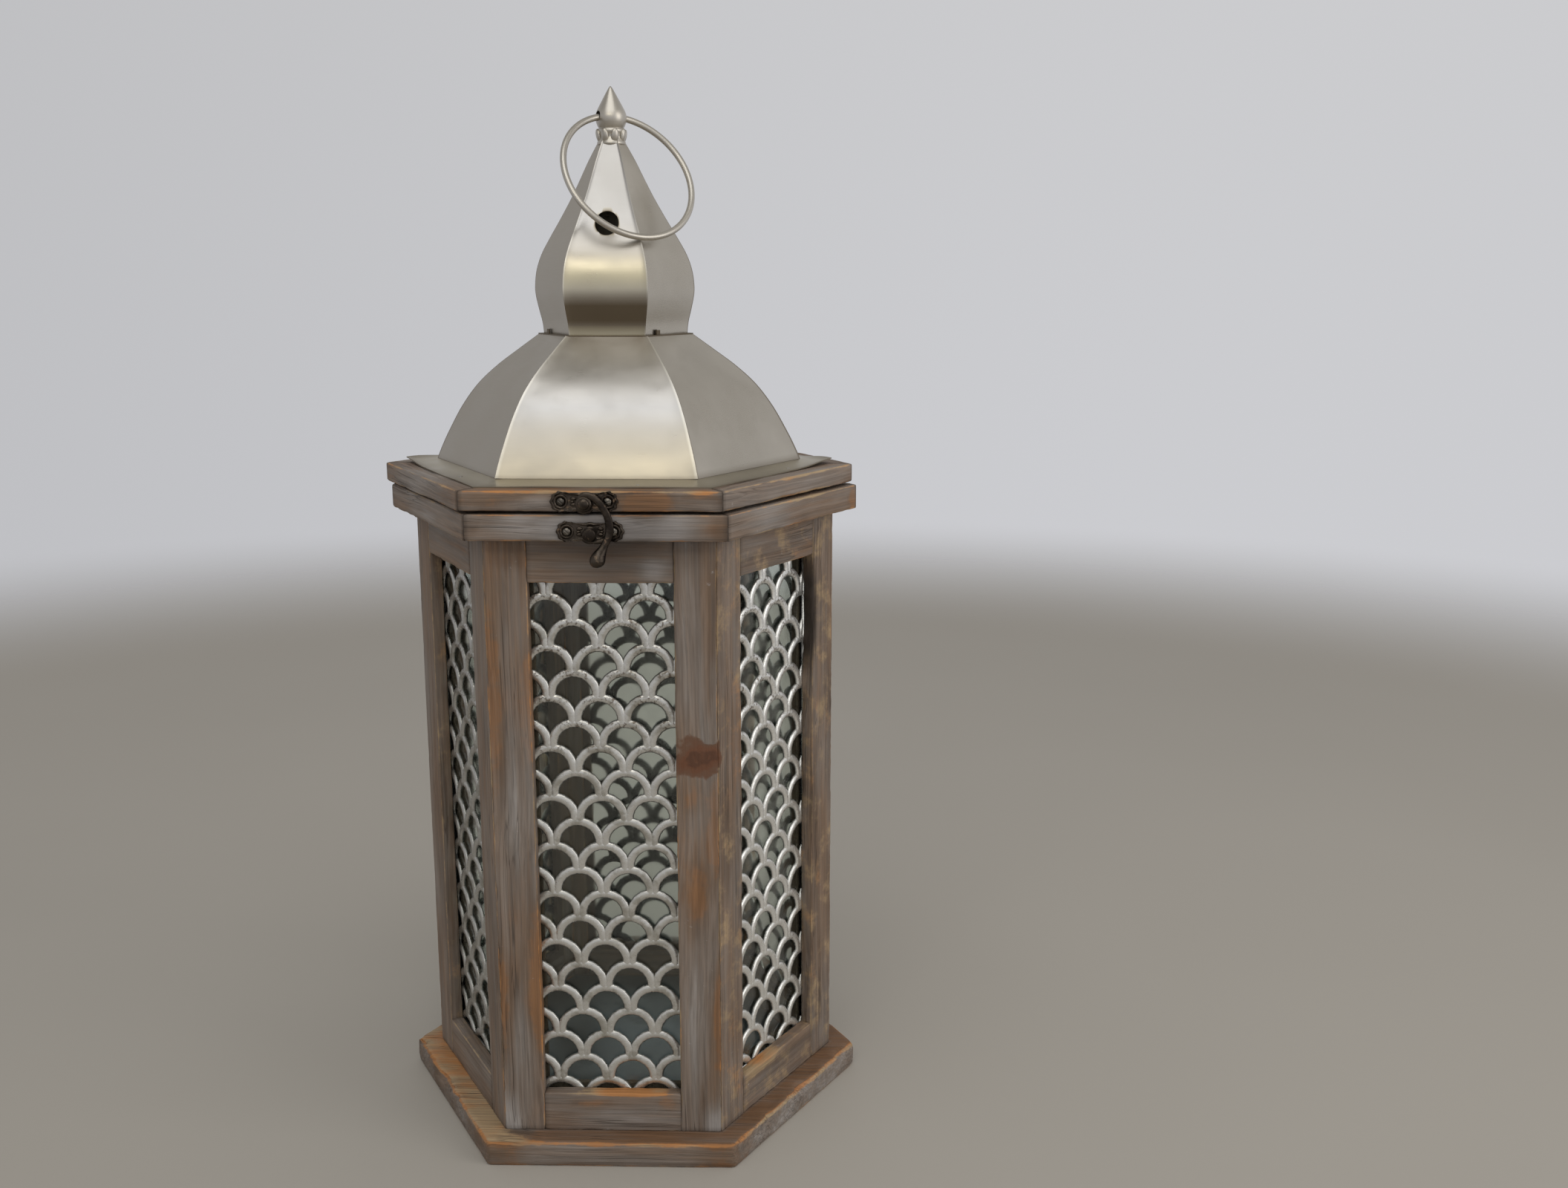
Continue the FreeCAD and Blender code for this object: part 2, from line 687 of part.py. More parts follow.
def make_nails():
    """One nail through the flange and into the lid on each side, and the holes they fill."""
    depth = worked_out(FLANGE_WORDS) * COS - size("nail_inset")
    down = Rotation(Vector(1, 0, 0), 180)
    nails = []
    holes = []
    for index in range(len(FACES)):
        around = turned(index * FACE_STEP, LID_AXIS)
        spot = around.multVec(Vector(size("nail_offset"), -depth, LID_TOP + size("sheet")))
        shank = cylinder(f"nail_shank_{index}", "Sizes.nail_shank", "Sizes.nail_length", spot, down)
        head = doc.addObject("Part::Sphere", f"nail_head_{index}")
        bind(head, Radius="Sizes.nail_radius")
        head.Angle1 = 0
        head.Placement = Placement(spot, Rotation())
        nails.append(fuse(f"nail_{index}", [head, shank]))
        holes.append(cylinder(f"nail_hole_{index}", "Sizes.nail_shank", "Sizes.nail_length", spot, down))
    return nails, holes


def make_tabs():
    """Little lugs bent up from the shelf round the onion's foot, on the four side panels."""
    tabs = []
    depth = worked_out(ONION_FOOT_WORDS) * COS + size("tab_play")
    for index, face in enumerate(FACES):
        if face in ("front", "rear"):
            continue
        tab = doc.addObject("Part::Box", f"tab_{face}")
        bind(tab, Length="Sizes.tab_width", Width="Sizes.sheet", Height="Sizes.tab_length")
        spot = Vector(-size("tab_offset"), -depth - size("sheet"), ONION_BASE)
        tab.Placement = turned(index * FACE_STEP, LID_AXIS).multiply(Placement(spot, Rotation()))
        tabs.append(tab)
    group("onion_tabs", tabs)


# ---------------------------------------------------------------- finial and ring handle

def make_collar():
    """A petalled collar that caps the onion's tip, bored for the stud."""
    bottom = ONION_TOP - size("collar_skirt")
    full_height = "Sizes.collar_height + Sizes.collar_skirt + Sizes.sheet / 2"
    core = cylinder("collar_core", "Sizes.collar_radius", full_height)
    petals = []
    for index in range(PETALS):
        around = Vector(size("collar_radius"), 0, 0)
        spot = Rotation(Z_AXIS, 360.0 / PETALS * (index + 0.5)).multVec(around)
        petals.append(cylinder(f"petal_{index}", "Sizes.petal_radius", "Sizes.collar_height", spot))
    body = fuse("collar_body", [core] + petals)
    recess = doc.addObject("Part::Cone", "collar_recess")
    narrowing = "(Sizes.onion_neck_radius - Sizes.onion_tip_radius)"
    rise = "(Sizes.onion_height - Sizes.onion_neck_height)"
    bind(
        recess,
        Radius1=f"Sizes.onion_tip_radius + Sizes.collar_skirt * {narrowing} / {rise} + Sizes.collar_play",
        Radius2="Sizes.onion_tip_radius + Sizes.collar_play",
        Height="Sizes.collar_skirt",
    )
    bore = cylinder("collar_bore", "Sizes.stud_radius", full_height)
    collar = cut("collar_bored", body, fuse("collar_voids", [recess, bore]))
    collar.Placement = Placement(Vector(0, 0, bottom) + LID_AXIS, Rotation())
    keep(collar, "finial_collar")


def make_finial():
    """A turned pointed bulb with a cross eye for the ring and a blind hole for the stud."""
    corners = [
        ("0", "0"),
        ("Sizes.finial_foot_radius", "0", "Sizes.finial_bulb_radius"),
        ("Sizes.finial_bulb_radius", "Sizes.finial_bulb_height", "-(Sizes.finial_height)"),
        ("Sizes.finial_tip_radius", "Sizes.finial_height"),
        ("0", "Sizes.finial_height"),
    ]
    body, sketch = sketched_body("finial_turned", "XZ_Plane", corners)
    turning = body.newObject("PartDesign::Revolution", "finial_revolution")
    turning.Profile = sketch
    turning.ReferenceAxis = (sketch, ["V_Axis"])
    turning.Angle = 360.0
    doc.recompute()
    level = Rotation(Vector(0, 1, 0), 90)
    eye = cylinder("finial_eye", "Sizes.eye_radius", "4 * Sizes.finial_bulb_radius", Vector(
        -2 * size("finial_bulb_radius"), 0, size("eye_height")), level)
    socket = cylinder("finial_socket", "Sizes.stud_radius", "Sizes.stud_seat")
    finial = cut("finial_drilled", body, fuse("finial_voids", [eye, socket]))
    finial.Placement = turned(size("eye_turn"), Vector(0, 0, FINIAL_BASE) + LID_AXIS)
    keep(finial, "finial")


def ring_lean():
    """Return the angle from the vertical at which the ring rests on the onion's front seam.

    The ring swings inwards from the level until its wire is one play away from the nearest
    point of the seam. No step moves any point of the wire further than the gap that is left.
    """
    seam = [
        Vector(radius / 2, -radius * COS, height - FINIAL_BASE - size("eye_height"))
        for radius, height in onion_stations()
    ]
    points = Part.Arc(*seam[:3]).toShape().discretize(60) + Part.Arc(*seam[2:]).toShape().discretize(60)
    turn = Rotation(Z_AXIS, size("eye_turn"))
    along = turn.multVec(Vector(1, 0, 0))
    wanted = size("ring_wire") + size("ring_play")

    def gap(angle):
        down = turn.multVec(Vector(0, -math.sin(angle), -math.cos(angle)))
        middle = down * size("ring_radius")
        normal = along.cross(down)
        offsets = []
        for point in points:
            aside = (point - middle).dot(normal)
            inplane = point - middle - normal * aside
            offsets.append(math.hypot(inplane.Length - size("ring_radius"), aside))
        return min(offsets)

    angle = math.pi / 2
    spare = gap(angle) - wanted
    while spare > 1e-3:
        angle -= spare / (2 * size("ring_radius"))
        spare = gap(angle) - wanted
    return math.degrees(angle)


def make_ring():
    """A round wire ring through the eye, leaning on the front of the onion."""
    ring = doc.addObject("Part::Torus", "ring_wire")
    bind(ring, Radius1="Sizes.ring_radius", Radius2="Sizes.ring_wire")
    lean = Rotation(Vector(1, 0, 0), -ring_lean())
    upright = Rotation(Vector(1, 0, 0), 90)
    eye = Vector(0, 0, FINIAL_BASE + size("eye_height")) + LID_AXIS
    hang = Placement(eye, Rotation(Z_AXIS, size("eye_turn")).multiply(lean).multiply(upright))
    ring.Placement = hang.multiply(Placement(Vector(0, -size("ring_radius"), 0), Rotation()))
    keep(ring, "ring_handle")


def washer_top():
    """Return the level at which the washer's rim meets the inside of the onion's panels."""
    panel = Part.Arc(*[Vector(radius * COS, 0, height) for radius, height in onion_stations()[2:]])
    edge = size("washer_radius") + size("sheet") + size("washer_play")
    return panel.intersect(Part.Line(Vector(edge, 0, 0), Vector(edge, 0, 1)))[0].Z


def make_stud():
    """Threaded stud, washer and nut that draw finial and collar down on the onion."""
    top = FINIAL_BASE + size("stud_seat")
    washer_level = Vector(0, 0, washer_top() - size("washer_thickness")) + LID_AXIS
    nut_level = washer_level - Vector(0, 0, size("nut_height"))
    bottom = nut_level - Vector(0, 0, size("stud_end"))
    keep(cylinder("stud_rod", "Sizes.stud_radius", f"{top - bottom.z}", bottom), "finial_stud")
    disc = cylinder("washer_disc", "Sizes.washer_radius", "Sizes.washer_thickness", washer_level)
    hole = cylinder("washer_hole", "Sizes.stud_radius", "Sizes.washer_thickness", washer_level)
    keep(cut("washer", disc, hole), "finial_washer")
    nut = doc.addObject("Part::Prism", "nut_blank")
    nut.Polygon = 6
    bind(nut, Circumradius="Sizes.nut_radius", Height="Sizes.nut_height")
    nut.Placement = Placement(nut_level, Rotation())
    bore = cylinder("nut_bore", "Sizes.stud_radius", "Sizes.nut_height", nut_level)
    keep(cut("nut", nut, bore), "finial_nut")


# ---------------------------------------------------------------- latch

FACING = Rotation(Vector(1, 0, 0), 90)


def front_seat(across, height, out=0.0):
    """Return the place of a piece on the front: its own z points out of the wood."""
    return Placement(Vector(across, -RIM_DEPTH - out, height), FACING)


def latch_plate(name, placement, boss_drop, hole, spacer):
    """An escutcheon with two screw eyes and a middle boss, pierced for its fasteners."""
    half = size("plate_eye_spacing") / 2
    drop = size(boss_drop)
    shapes = []
    holes = []
    for tag, side in (("left", -1), ("right", 1)):
        spot = Vector(side * half, 0, 0)
        shapes.append(cylinder(f"{name}_eye_{tag}", "Sizes.plate_eye_radius", "Sizes.plate_thickness", spot))
        holes.append(cylinder(f"{name}_hole_{tag}", "Sizes.screw_radius", "Sizes.plate_thickness", spot))
    middle = Vector(0, -drop, 0)
    shapes.append(cylinder(f"{name}_boss", "Sizes.plate_boss_radius", "Sizes.plate_thickness", middle))
    raised = f"Sizes.plate_thickness + {HOOK_GAP_WORDS}"
    if spacer:
        spaced = f"{raised} - Sizes.hook_play"
        shapes.append(cylinder(f"{name}_spacer", "Sizes.plate_spacer_radius", spaced, middle))
    holes.append(cylinder(f"{name}_bore", hole, raised, middle))
    shapes.append(box(
        f"{name}_waist",
        ("-Sizes.plate_eye_spacing / 2", "-Sizes.plate_waist / 2", "0"),
        ("Sizes.plate_eye_spacing / 2", "Sizes.plate_waist / 2", "Sizes.plate_thickness"),
    ))
    plate = cut(f"{name}_pierced", fuse(f"{name}_body", shapes), fuse(f"{name}_holes", holes))
    plate.Placement = placement
    return plate


def screw(name, placement, head_radius, head_height, length):
    """A wood screw with a domed head; its shank runs into the wood."""
    shank = cylinder(f"{name}_shank", "Sizes.screw_radius", length, Vector(0, 0, -worked_out(length)))
    head = doc.addObject("Part::Cone", f"{name}_head")
    bind(head, Radius1=head_radius, Radius2=f"{head_radius} * Sizes.screw_head_taper", Height=head_height)
    whole = fuse(name, [shank, head])
    whole.Placement = placement
    return whole


def pilot(name, placement, radius, length):
    """The hole of a screw or rivet in the wood, as a solid to take away."""
    hole = cylinder(name, radius, length)
    into = Placement(Vector(0, 0, -worked_out(length)), Rotation())
    hole.Placement = placement.multiply(into)
    return hole


def make_hook(pivot):
    """The swinging hook: a boss, a curved arm, a finger under the catch and a flared tail.

    Its back is flat, so that it passes in front of the screw heads.
    """
    arc = Vector(size("hook_arc_x"), -size("hook_arc_drop"), 0)
    begin = Rotation(Z_AXIS, size("hook_arc_from"))
    boss = cylinder("hook_boss", "Sizes.hook_boss_radius", "Sizes.hook_thickness")
    outer = cylinder("arm_outer", "Sizes.hook_arc_radius + Sizes.hook_arc_width / 2",
                     "Sizes.hook_thickness", arc, begin, size("hook_arc_span"))
    inner = cylinder("arm_inner", "Sizes.hook_arc_radius - Sizes.hook_arc_width / 2",
                     "Sizes.hook_thickness", arc)
    arm = cut("hook_arm", outer, inner)
    reach = f"sqrt((Sizes.catch_centre - Sizes.latch_centre)^2 + {PIVOT_RISE_WORDS}^2)"
    under = f"{reach} + Sizes.catch_neck + Sizes.hook_finger_play"
    finger_outer = cylinder(
        "finger_outer", f"{under} + Sizes.hook_finger_width", "Sizes.hook_thickness",
        rotation=Rotation(Z_AXIS, size("hook_finger_from")), angle=size("hook_finger_span"),
    )
    finger_inner = cylinder("finger_inner", under, "Sizes.hook_thickness")
    finger = cut("hook_finger", finger_outer, finger_inner)
    end = begin.multVec(Vector(size("hook_arc_radius"), 0, 0)) + arc
    knuckle = doc.addObject("Part::Sphere", "hook_knuckle")
    bind(knuckle, Radius="Sizes.hook_arc_width / 2")
    middle = Vector(0, 0, size("hook_thickness") / 2)
    knuckle.Placement = Placement(end + middle, Rotation())
    tail = doc.addObject("Part::Cone", "hook_tail")
    bind(tail, Radius1="Sizes.hook_arc_width / 2", Radius2="Sizes.hook_tail_radius",
         Height="Sizes.hook_tail_length")
    heading = Rotation(Z_AXIS, size("hook_tail_heading"))
    away = heading.multVec(Rotation(Vector(0, 1, 0), -size("hook_tail_rise")).multVec(Vector(1, 0, 0)))
    tail.Placement = Placement(end + middle, Rotation(Z_AXIS, away))
    whole = fuse("hook_whole", [boss, arm, finger, knuckle, tail])
    bore = cylinder("hook_bore", "Sizes.rivet_radius + Sizes.pivot_play", "Sizes.hook_thickness")
    sweep = f"{under} + Sizes.hook_tail_length + 2 * Sizes.hook_tail_radius"
    behind = cylinder("hook_behind", sweep, "Sizes.hook_tail_radius", Vector(0, 0, -size("hook_tail_radius")))
    hook = cut("hook_bored", whole, fuse("hook_voids", [bore, behind]))
    hook.Placement = pivot
    keep(hook, "latch_hook")


def make_latch():
    """Hook plate on the lid, catch plate on the rim, and what joins them."""
    catch_level = WALL_TOP + size("catch_height") - size("catch_drop")
    pivot_level = catch_level + worked_out(PIVOT_RISE_WORDS)
    lid_seat = front_seat(size("latch_centre"), pivot_level + size("latch_drop"))
    rim_seat = front_seat(size("catch_centre"), catch_level + size("catch_drop"))
    keep(latch_plate("hook_plate", lid_seat, "latch_drop", "Sizes.rivet_radius", True), "latch_plate")
    keep(latch_plate("catch_plate", rim_seat, "catch_drop", "Sizes.catch_neck", False), "catch_plate")
    out = size("plate_thickness") + worked_out(HOOK_GAP_WORDS)
    make_hook(front_seat(size("latch_centre"), pivot_level, out))
    into = size("rivet_depth")
    rivet_length = (
        f"Sizes.plate_thickness + {HOOK_GAP_WORDS} + Sizes.hook_thickness + Sizes.hook_play"
        " + Sizes.rivet_depth"
    )
    shank = cylinder("rivet_shank", "Sizes.rivet_radius", rivet_length, Vector(0, 0, -into))
    head = cylinder("rivet_head", "Sizes.rivet_head_radius", "Sizes.rivet_head_height",
                    Vector(0, 0, worked_out(rivet_length) - into))
    rivet = fuse("rivet", [shank, head])
    rivet.Placement = front_seat(size("latch_centre"), pivot_level)
    keep(rivet, "latch_rivet")
    neck = cylinder("catch_shank", "Sizes.catch_neck", rivet_length, Vector(0, 0, -into))
    knob = cylinder("catch_knob", "Sizes.catch_head_radius", "Sizes.catch_head_thickness",
                    Vector(0, 0, worked_out(rivet_length) - into))
    stud = fuse("catch", [neck, knob])
    stud.Placement = front_seat(size("catch_centre"), catch_level)
    keep(stud, "catch_stud")
    lid_holes = [pilot("rivet_hole", rivet.Placement, "Sizes.rivet_radius", "Sizes.rivet_depth")]
    rim_holes = [pilot("catch_hole", stud.Placement, "Sizes.catch_neck", "Sizes.rivet_depth")]
    lid_screws = []
    rim_screws = []
    for tag, side in (("left", -1), ("right", 1)):
        across = side * size("plate_eye_spacing") / 2
        aside = Placement(Vector(across, 0, size("plate_thickness")), Rotation())
        for seat, screws, holes, name in (
            (lid_seat, lid_screws, lid_holes, "hook_screw"),
            (rim_seat, rim_screws, rim_holes, "catch_screw"),
        ):
            spot = seat.multiply(aside)
            screws.append(screw(f"{name}_{tag}", spot, "Sizes.screw_head_radius",
                                "Sizes.screw_head_height", "Sizes.screw_length"))
            holes.append(pilot(f"{name}_pilot_{tag}", spot, "Sizes.screw_radius", "Sizes.screw_length"))
    group("latch_screws", lid_screws)
    group("catch_screws", rim_screws)
    return lid_holes, rim_holes


# ---------------------------------------------------------------- hinges

def hinge_axis(side):
    """Return the place of a hinge: its own z points out of the back, its y up, x along the pin."""
    level = RIM_TOP + size("lid_gap") / 2
    outwards = Rotation(Vector(0, 0, 1), 180).multiply(FACING)
    return Placement(Vector(side * size("hinge_offset"), RIM_DEPTH, level), outwards)


def make_leaf(name, place, direction, middle):
    """One hinge leaf with its knuckles; direction is 1 for the lid and -1 for the rim."""
    half = size("hinge_width") / 2
    inner = size("hinge_middle") / 2
    gap = size("hinge_knuckle_gap")
    stand = hinge_stand_off()
    clear = size("hinge_knuckle") + gap
    spans = [(-inner, inner)] if middle else [(-half, -inner - gap), (inner + gap, half)]
    far = size("hinge_leaf_height")
    plate = Part.makeBox(2 * half, far - clear, size("hinge_leaf"), Vector(-half, clear, 0))
    knuckles = []
    for start, stop in spans:
        barrel = Part.makeCylinder(
            size("hinge_knuckle"), stop - start, Vector(start, 0, stand), Vector(1, 0, 0),
        )
        neck = Part.makeBox(stop - start, clear, size("hinge_leaf"), Vector(start, 0, 0))
        knuckles += [barrel, neck]
    whole = plate.multiFuse(knuckles)
    bore_radius = size("hinge_pin") + size("pivot_play")
    whole = whole.cut(Part.makeCylinder(bore_radius, 2 * half, Vector(-half, 0, stand), Vector(1, 0, 0)))
    for side in (-1, 1):
        spot = Vector(side * size("hinge_screw_spacing") / 2, screw_level(), 0)
        whole = whole.cut(Part.makeCylinder(size("screw_radius"), size("hinge_leaf"), spot))
    if direction < 0:
        whole = whole.mirror(Vector(0, 0, 0), Vector(0, 1, 0))
    leaf = doc.addObject("Part::Feature", name)
    leaf.Shape = whole.removeSplitter()
    leaf.Placement = place
    return leaf


def hinge_stand_off():
    """Distance of the pin from the face that the leaves lie on."""
    return size("hinge_knuckle") + size("hinge_stand_off_play")


def screw_level():
    """Distance of a hinge screw from the pin."""
    return (size("hinge_leaf_height") + size("hinge_knuckle")) / 2


def make_hinges():
    """Two butt hinges on the back, with pins and screws."""
    lid_leaves = []
    rim_leaves = []
    pins = []
    screws = {1: [], -1: []}
    pilots = {1: [], -1: []}
    for tag, side in (("left", 1), ("right", -1)):
        place = hinge_axis(side)
        lid_leaves.append(make_leaf(f"lid_leaf_{tag}", place, 1, True))
        rim_leaves.append(make_leaf(f"rim_leaf_{tag}", place, -1, False))
        middle = Vector(-size("hinge_width") / 2, 0, hinge_stand_off())
        lying = Rotation(Vector(0, 1, 0), 90)
        pin = cylinder(f"pin_{tag}", "Sizes.hinge_pin", "Sizes.hinge_width", middle, lying)
        pin.Placement = place.multiply(pin.Placement)
        pins.append(pin)
        for direction in (1, -1):
            for spot_tag, across in (("a", -1), ("b", 1)):
                half_space = across * size("hinge_screw_spacing") / 2
                spot = Vector(half_space, direction * screw_level(), size("hinge_leaf"))
                where = place.multiply(Placement(spot, Rotation()))
                name = f"hinge_screw_{tag}_{spot_tag}_{'lid' if direction > 0 else 'rim'}"
                screws[direction].append(screw(name, where, "Sizes.hinge_screw_head_radius",
                                               "Sizes.hinge_screw_head_height", "Sizes.screw_length"))
                hole = pilot(f"{name}_pilot", where, "Sizes.screw_radius", "Sizes.screw_length")
                pilots[direction].append(hole)
    group("hinge_leaves_lid", lid_leaves)
    group("hinge_leaves_rim", rim_leaves)
    group("hinge_pins", pins)
    group("hinge_screws_lid", screws[1])
    group("hinge_screws_rim", screws[-1])
    return pilots[1], pilots[-1]


# ---------------------------------------------------------------- assembly

def drilled(label, boards, holes, faces):
    """Take the pilot holes out of the boards on the named faces and group all six."""
    tools = fuse(f"{label}_pilots", holes)
    pieces = list(boards)
    for index in map(FACES.index, faces):
        pieces[index] = cut(f"{label}_drilled_{index}", boards[index], tools)
    group(label, pieces)


def make_lantern():
    """Build every sub-part of the lantern."""
    make_base_board()
    make_candle_plate()
    make_posts()
    make_rails()
    make_windows()
    rim, lid = make_frames()
    nail_holes = make_roof()
    make_collar()
    make_finial()
    make_ring()
    make_stud()
    latch_lid, latch_rim = make_latch()
    hinge_lid, hinge_rim = make_hinges()
    drilled("body_rim", rim, latch_rim + hinge_rim, ("front", "rear"))
    drilled("lid_frame", lid, latch_lid + hinge_lid + nail_holes, FACES)


def export_parts():
    """Check every object and write one file for each sub-part."""
    doc.recompute()
    for thing in doc.Objects:
        if "Invalid" in thing.State or "Error" in thing.State:
            raise RuntimeError(f"{thing.Label} failed: {thing.State}")
    for part in parts:
        if part.Shape.isNull() or not part.Shape.isValid():
            raise RuntimeError(f"{part.Label} has no valid shape")
    os.makedirs("parts", exist_ok=True)
    for part in parts:
        part.Shape.exportStep(f"parts/{part.Label}.step")
        print(f"{part.Label}: {len(part.Shape.Solids)} solids, {part.Shape.Volume:.1f} mm3")


make_lantern()
export_parts()
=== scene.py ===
"""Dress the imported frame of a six-sided wooden candle lantern with a sheet metal roof.

Sizes are written in millimetres and turned into metres where a mesh is made. Each side of the
lantern is drawn as the front one, across, out from the axis and up, and turned into its place.
"""

import json
import logging
import math
from dataclasses import dataclass, field
from enum import Enum
from typing import Callable, Iterable, Optional, Sequence, Union

import bmesh
import bpy
from bpy.types import Material, Mesh, Node, NodeSocket, NodeTree, Object
from mathutils import Matrix, Vector, noise

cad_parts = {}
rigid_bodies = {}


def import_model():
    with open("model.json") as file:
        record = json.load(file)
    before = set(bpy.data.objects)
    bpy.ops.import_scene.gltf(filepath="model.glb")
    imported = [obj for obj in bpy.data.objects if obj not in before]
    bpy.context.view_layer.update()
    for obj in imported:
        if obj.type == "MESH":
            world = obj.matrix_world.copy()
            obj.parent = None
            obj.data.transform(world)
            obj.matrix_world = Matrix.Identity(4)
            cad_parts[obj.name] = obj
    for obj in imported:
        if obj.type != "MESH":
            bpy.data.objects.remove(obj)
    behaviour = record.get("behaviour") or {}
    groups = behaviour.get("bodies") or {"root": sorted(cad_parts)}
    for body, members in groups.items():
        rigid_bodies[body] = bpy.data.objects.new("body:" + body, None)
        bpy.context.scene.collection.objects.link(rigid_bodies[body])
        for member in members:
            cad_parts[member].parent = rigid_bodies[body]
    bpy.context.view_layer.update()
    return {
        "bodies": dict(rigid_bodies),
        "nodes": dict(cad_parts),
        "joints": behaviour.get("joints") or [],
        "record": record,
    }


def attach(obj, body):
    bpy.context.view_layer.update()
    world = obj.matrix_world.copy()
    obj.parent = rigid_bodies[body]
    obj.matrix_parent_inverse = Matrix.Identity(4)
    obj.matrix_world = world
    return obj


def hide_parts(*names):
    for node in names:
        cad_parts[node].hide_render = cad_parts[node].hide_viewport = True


LOG = logging.getLogger("lantern")
MM = 0.001
SIDES = 6
COS30 = math.cos(math.pi / SIDES)
TAN30 = math.tan(math.pi / SIDES)
LID_SHIFT = -3.2  # how far the lid and all that stands on it sits to the left, in millimetres
WOOD_FACE = 144.627  # distance of the rim's and the lid's faces from the axis, in millimetres
ORIGIN = (0.0, 0.0, 0.0)
HALVES = (0.5, 0.5, 0.5)
FORWARD = Vector((0.0, -1.0, 0.0))
TONE = "tone"
GRAIN = "grain"
Pair = tuple[float, float]
Triple = tuple[float, float, float]
Colour = Triple
Setting = Union[float, int, bool, str, Sequence[float], NodeSocket]


class Named(Enum):
    """A choice whose name, in small letters, is a word in the frame's names."""

    @property
    def label(self) -> str:
        """The word that the frame's nodes use for it."""
        return self.name.lower()


class Face(Named):
    """The six sides of the lantern, anticlockwise seen from above."""

    FRONT = 0
    FRONT_RIGHT = 1
    REAR_RIGHT = 2
    REAR = 3
    REAR_LEFT = 4
    FRONT_LEFT = 5

    def place(self, across: float, out: float, up: float, shift: float = 0.0) -> Vector:
        """Turn a point drawn on the front side into its place on this side.

        Args:
            across: distance to the right of the side's middle line.
            out: distance from the upright axis.
            up: height above the floor.
            shift: how far the axis stands to the right of the lantern's own.

        Returns:
            The point in millimetres.
        """
        turn = math.radians(360.0 / SIDES * self.value)
        x = across * math.cos(turn) + out * math.sin(turn)
        y = across * math.sin(turn) - out * math.cos(turn)
        return Vector((x + shift, y, up))


class Corner(Named):
    """The six posts; each stands between the side of its number and the next."""

    FRONT_RIGHT = 0
    RIGHT = 1
    REAR_RIGHT = 2
    REAR_LEFT = 3
    LEFT = 4
    FRONT_LEFT = 5


class Body(Enum):
    """The bodies that the scene's own pieces ride on."""

    BODY = "body"
    LID = "lid"
    HOOK = "hook"


# -------- meshes

@dataclass
class Tone:
    """How one spot is finished, painted light and shade included: 0 is none of it, 1 is all, and below 0
    takes some away.
    """

    wear: float = 0.0
    wash: float = 0.0
    warm: float = 0.0
    dark: float = 0.0


@dataclass(frozen=True)
class Blot:
    """A soft spot on one side that changes the finish of the wood round it, painted shade included, as under
    the rim.

    A tall blot reaches further up and down, a long one further to the left and right, and a
    deep one also takes away that much wood.
    """

    across: float
    up: float
    radius: float
    wash: float = 0.0
    warm: float = 0.0
    dark: float = 0.0
    wear: float = 0.0
    tall: float = 1.0
    long: float = 1.0
    deep: float = 0.0

    def reach(self, across: float, up: float) -> float:
        """Return the blot's share at a place on its side, from 0 to 1."""
        gap = math.hypot((across - self.across) / self.long, (up - self.up) / self.tall) / self.radius
        return max(0.0, 1.0 - gap * gap) ** 1.5


@dataclass
class Draft:
    """A mesh in the making: points in millimetres, faces and the finish of each point."""

    points: list[Vector] = field(default_factory=list)
    faces: list[tuple[int, ...]] = field(default_factory=list)
    tones: list[Tone] = field(default_factory=list)
    grains: list[Vector] = field(default_factory=list)

    def add(self, point: Vector, tone: Optional[Tone] = None, grain: Optional[Vector] = None) -> int:
        """Add a point and return its number."""
        self.points.append(point)
        self.tones.append(tone or Tone())
        self.grains.append(grain if grain is not None else point)
        return len(self.points) - 1

    def bridge(self, first: Sequence[int], second: Sequence[int], closed: bool = True) -> None:
        """Join two rows of points of the same length with four-sided faces."""
        count = len(first)
        for index in range(count if closed else count - 1):
            following = (index + 1) % count
            self.faces.append((first[index], first[following], second[following], second[index]))

    def stack(self, rings: Sequence[Sequence[int]]) -> None:
        """Join closed rings one after another and close both ends."""
        for first, second in zip(rings, rings[1:]):
            self.bridge(first, second)
        self.faces += [tuple(reversed(rings[0])), tuple(rings[-1])]

    def turn(self, profile: Sequence[Pair], place: Callable[[float, float, float], Vector],
             segments: int) -> None:
        """Add a turned shape.

        Args:
            profile: radius and height of each ring, from one end to the other.
            place: gives the place of a point from two sides and a height.
            segments: the number of faces round the shape.
        """
        angles = [math.tau * part / segments for part in range(segments)]
        self.stack([
            [self.add(place(radius * math.cos(angle), radius * math.sin(angle), height))
             for angle in angles]
            for radius, height in profile
        ])

    def rod(self, stations: Sequence[tuple[Vector, float, float]], aside: Vector, segments: int) -> None:
        """Add a bent bar of changing section.

        Args:
            stations: centre, half width and half thickness along the bar.
            aside: the direction of the bar's thickness.
            segments: the number of faces round the bar.
        """
        angles = [math.tau * part / segments for part in range(segments)]
        rings: list[list[int]] = []
        for index, (centre, width, thickness) in enumerate(stations):
            before = stations[max(0, index - 1)][0]
            after = stations[min(len(stations) - 1, index + 1)][0]
            along = (after - before).normalized()
            across = along.cross(aside).normalized()
            upward = across.cross(along).normalized()
            rings.append([
                self.add(centre + across * width * math.cos(angle) + upward * thickness * math.sin(angle))
                for angle in angles
            ])
        self.stack(rings)

    def make(self, name: str) -> Object:
        """Turn the draft into an object at the origin, in metres, with outward faces."""
        mesh = bpy.data.meshes.new(name)
        mesh.from_pydata([point * MM for point in self.points], [], self.faces)
        tone = mesh.attributes.new(TONE, "FLOAT_COLOR", "POINT")
        grain = mesh.attributes.new(GRAIN, "FLOAT_VECTOR", "POINT")
        for index, (value, spot) in enumerate(zip(self.tones, self.grains)):
            tone.data[index].color = (value.wear, value.wash, value.warm, value.dark)
            grain.data[index].vector = spot * MM
        return finished(name, mesh)


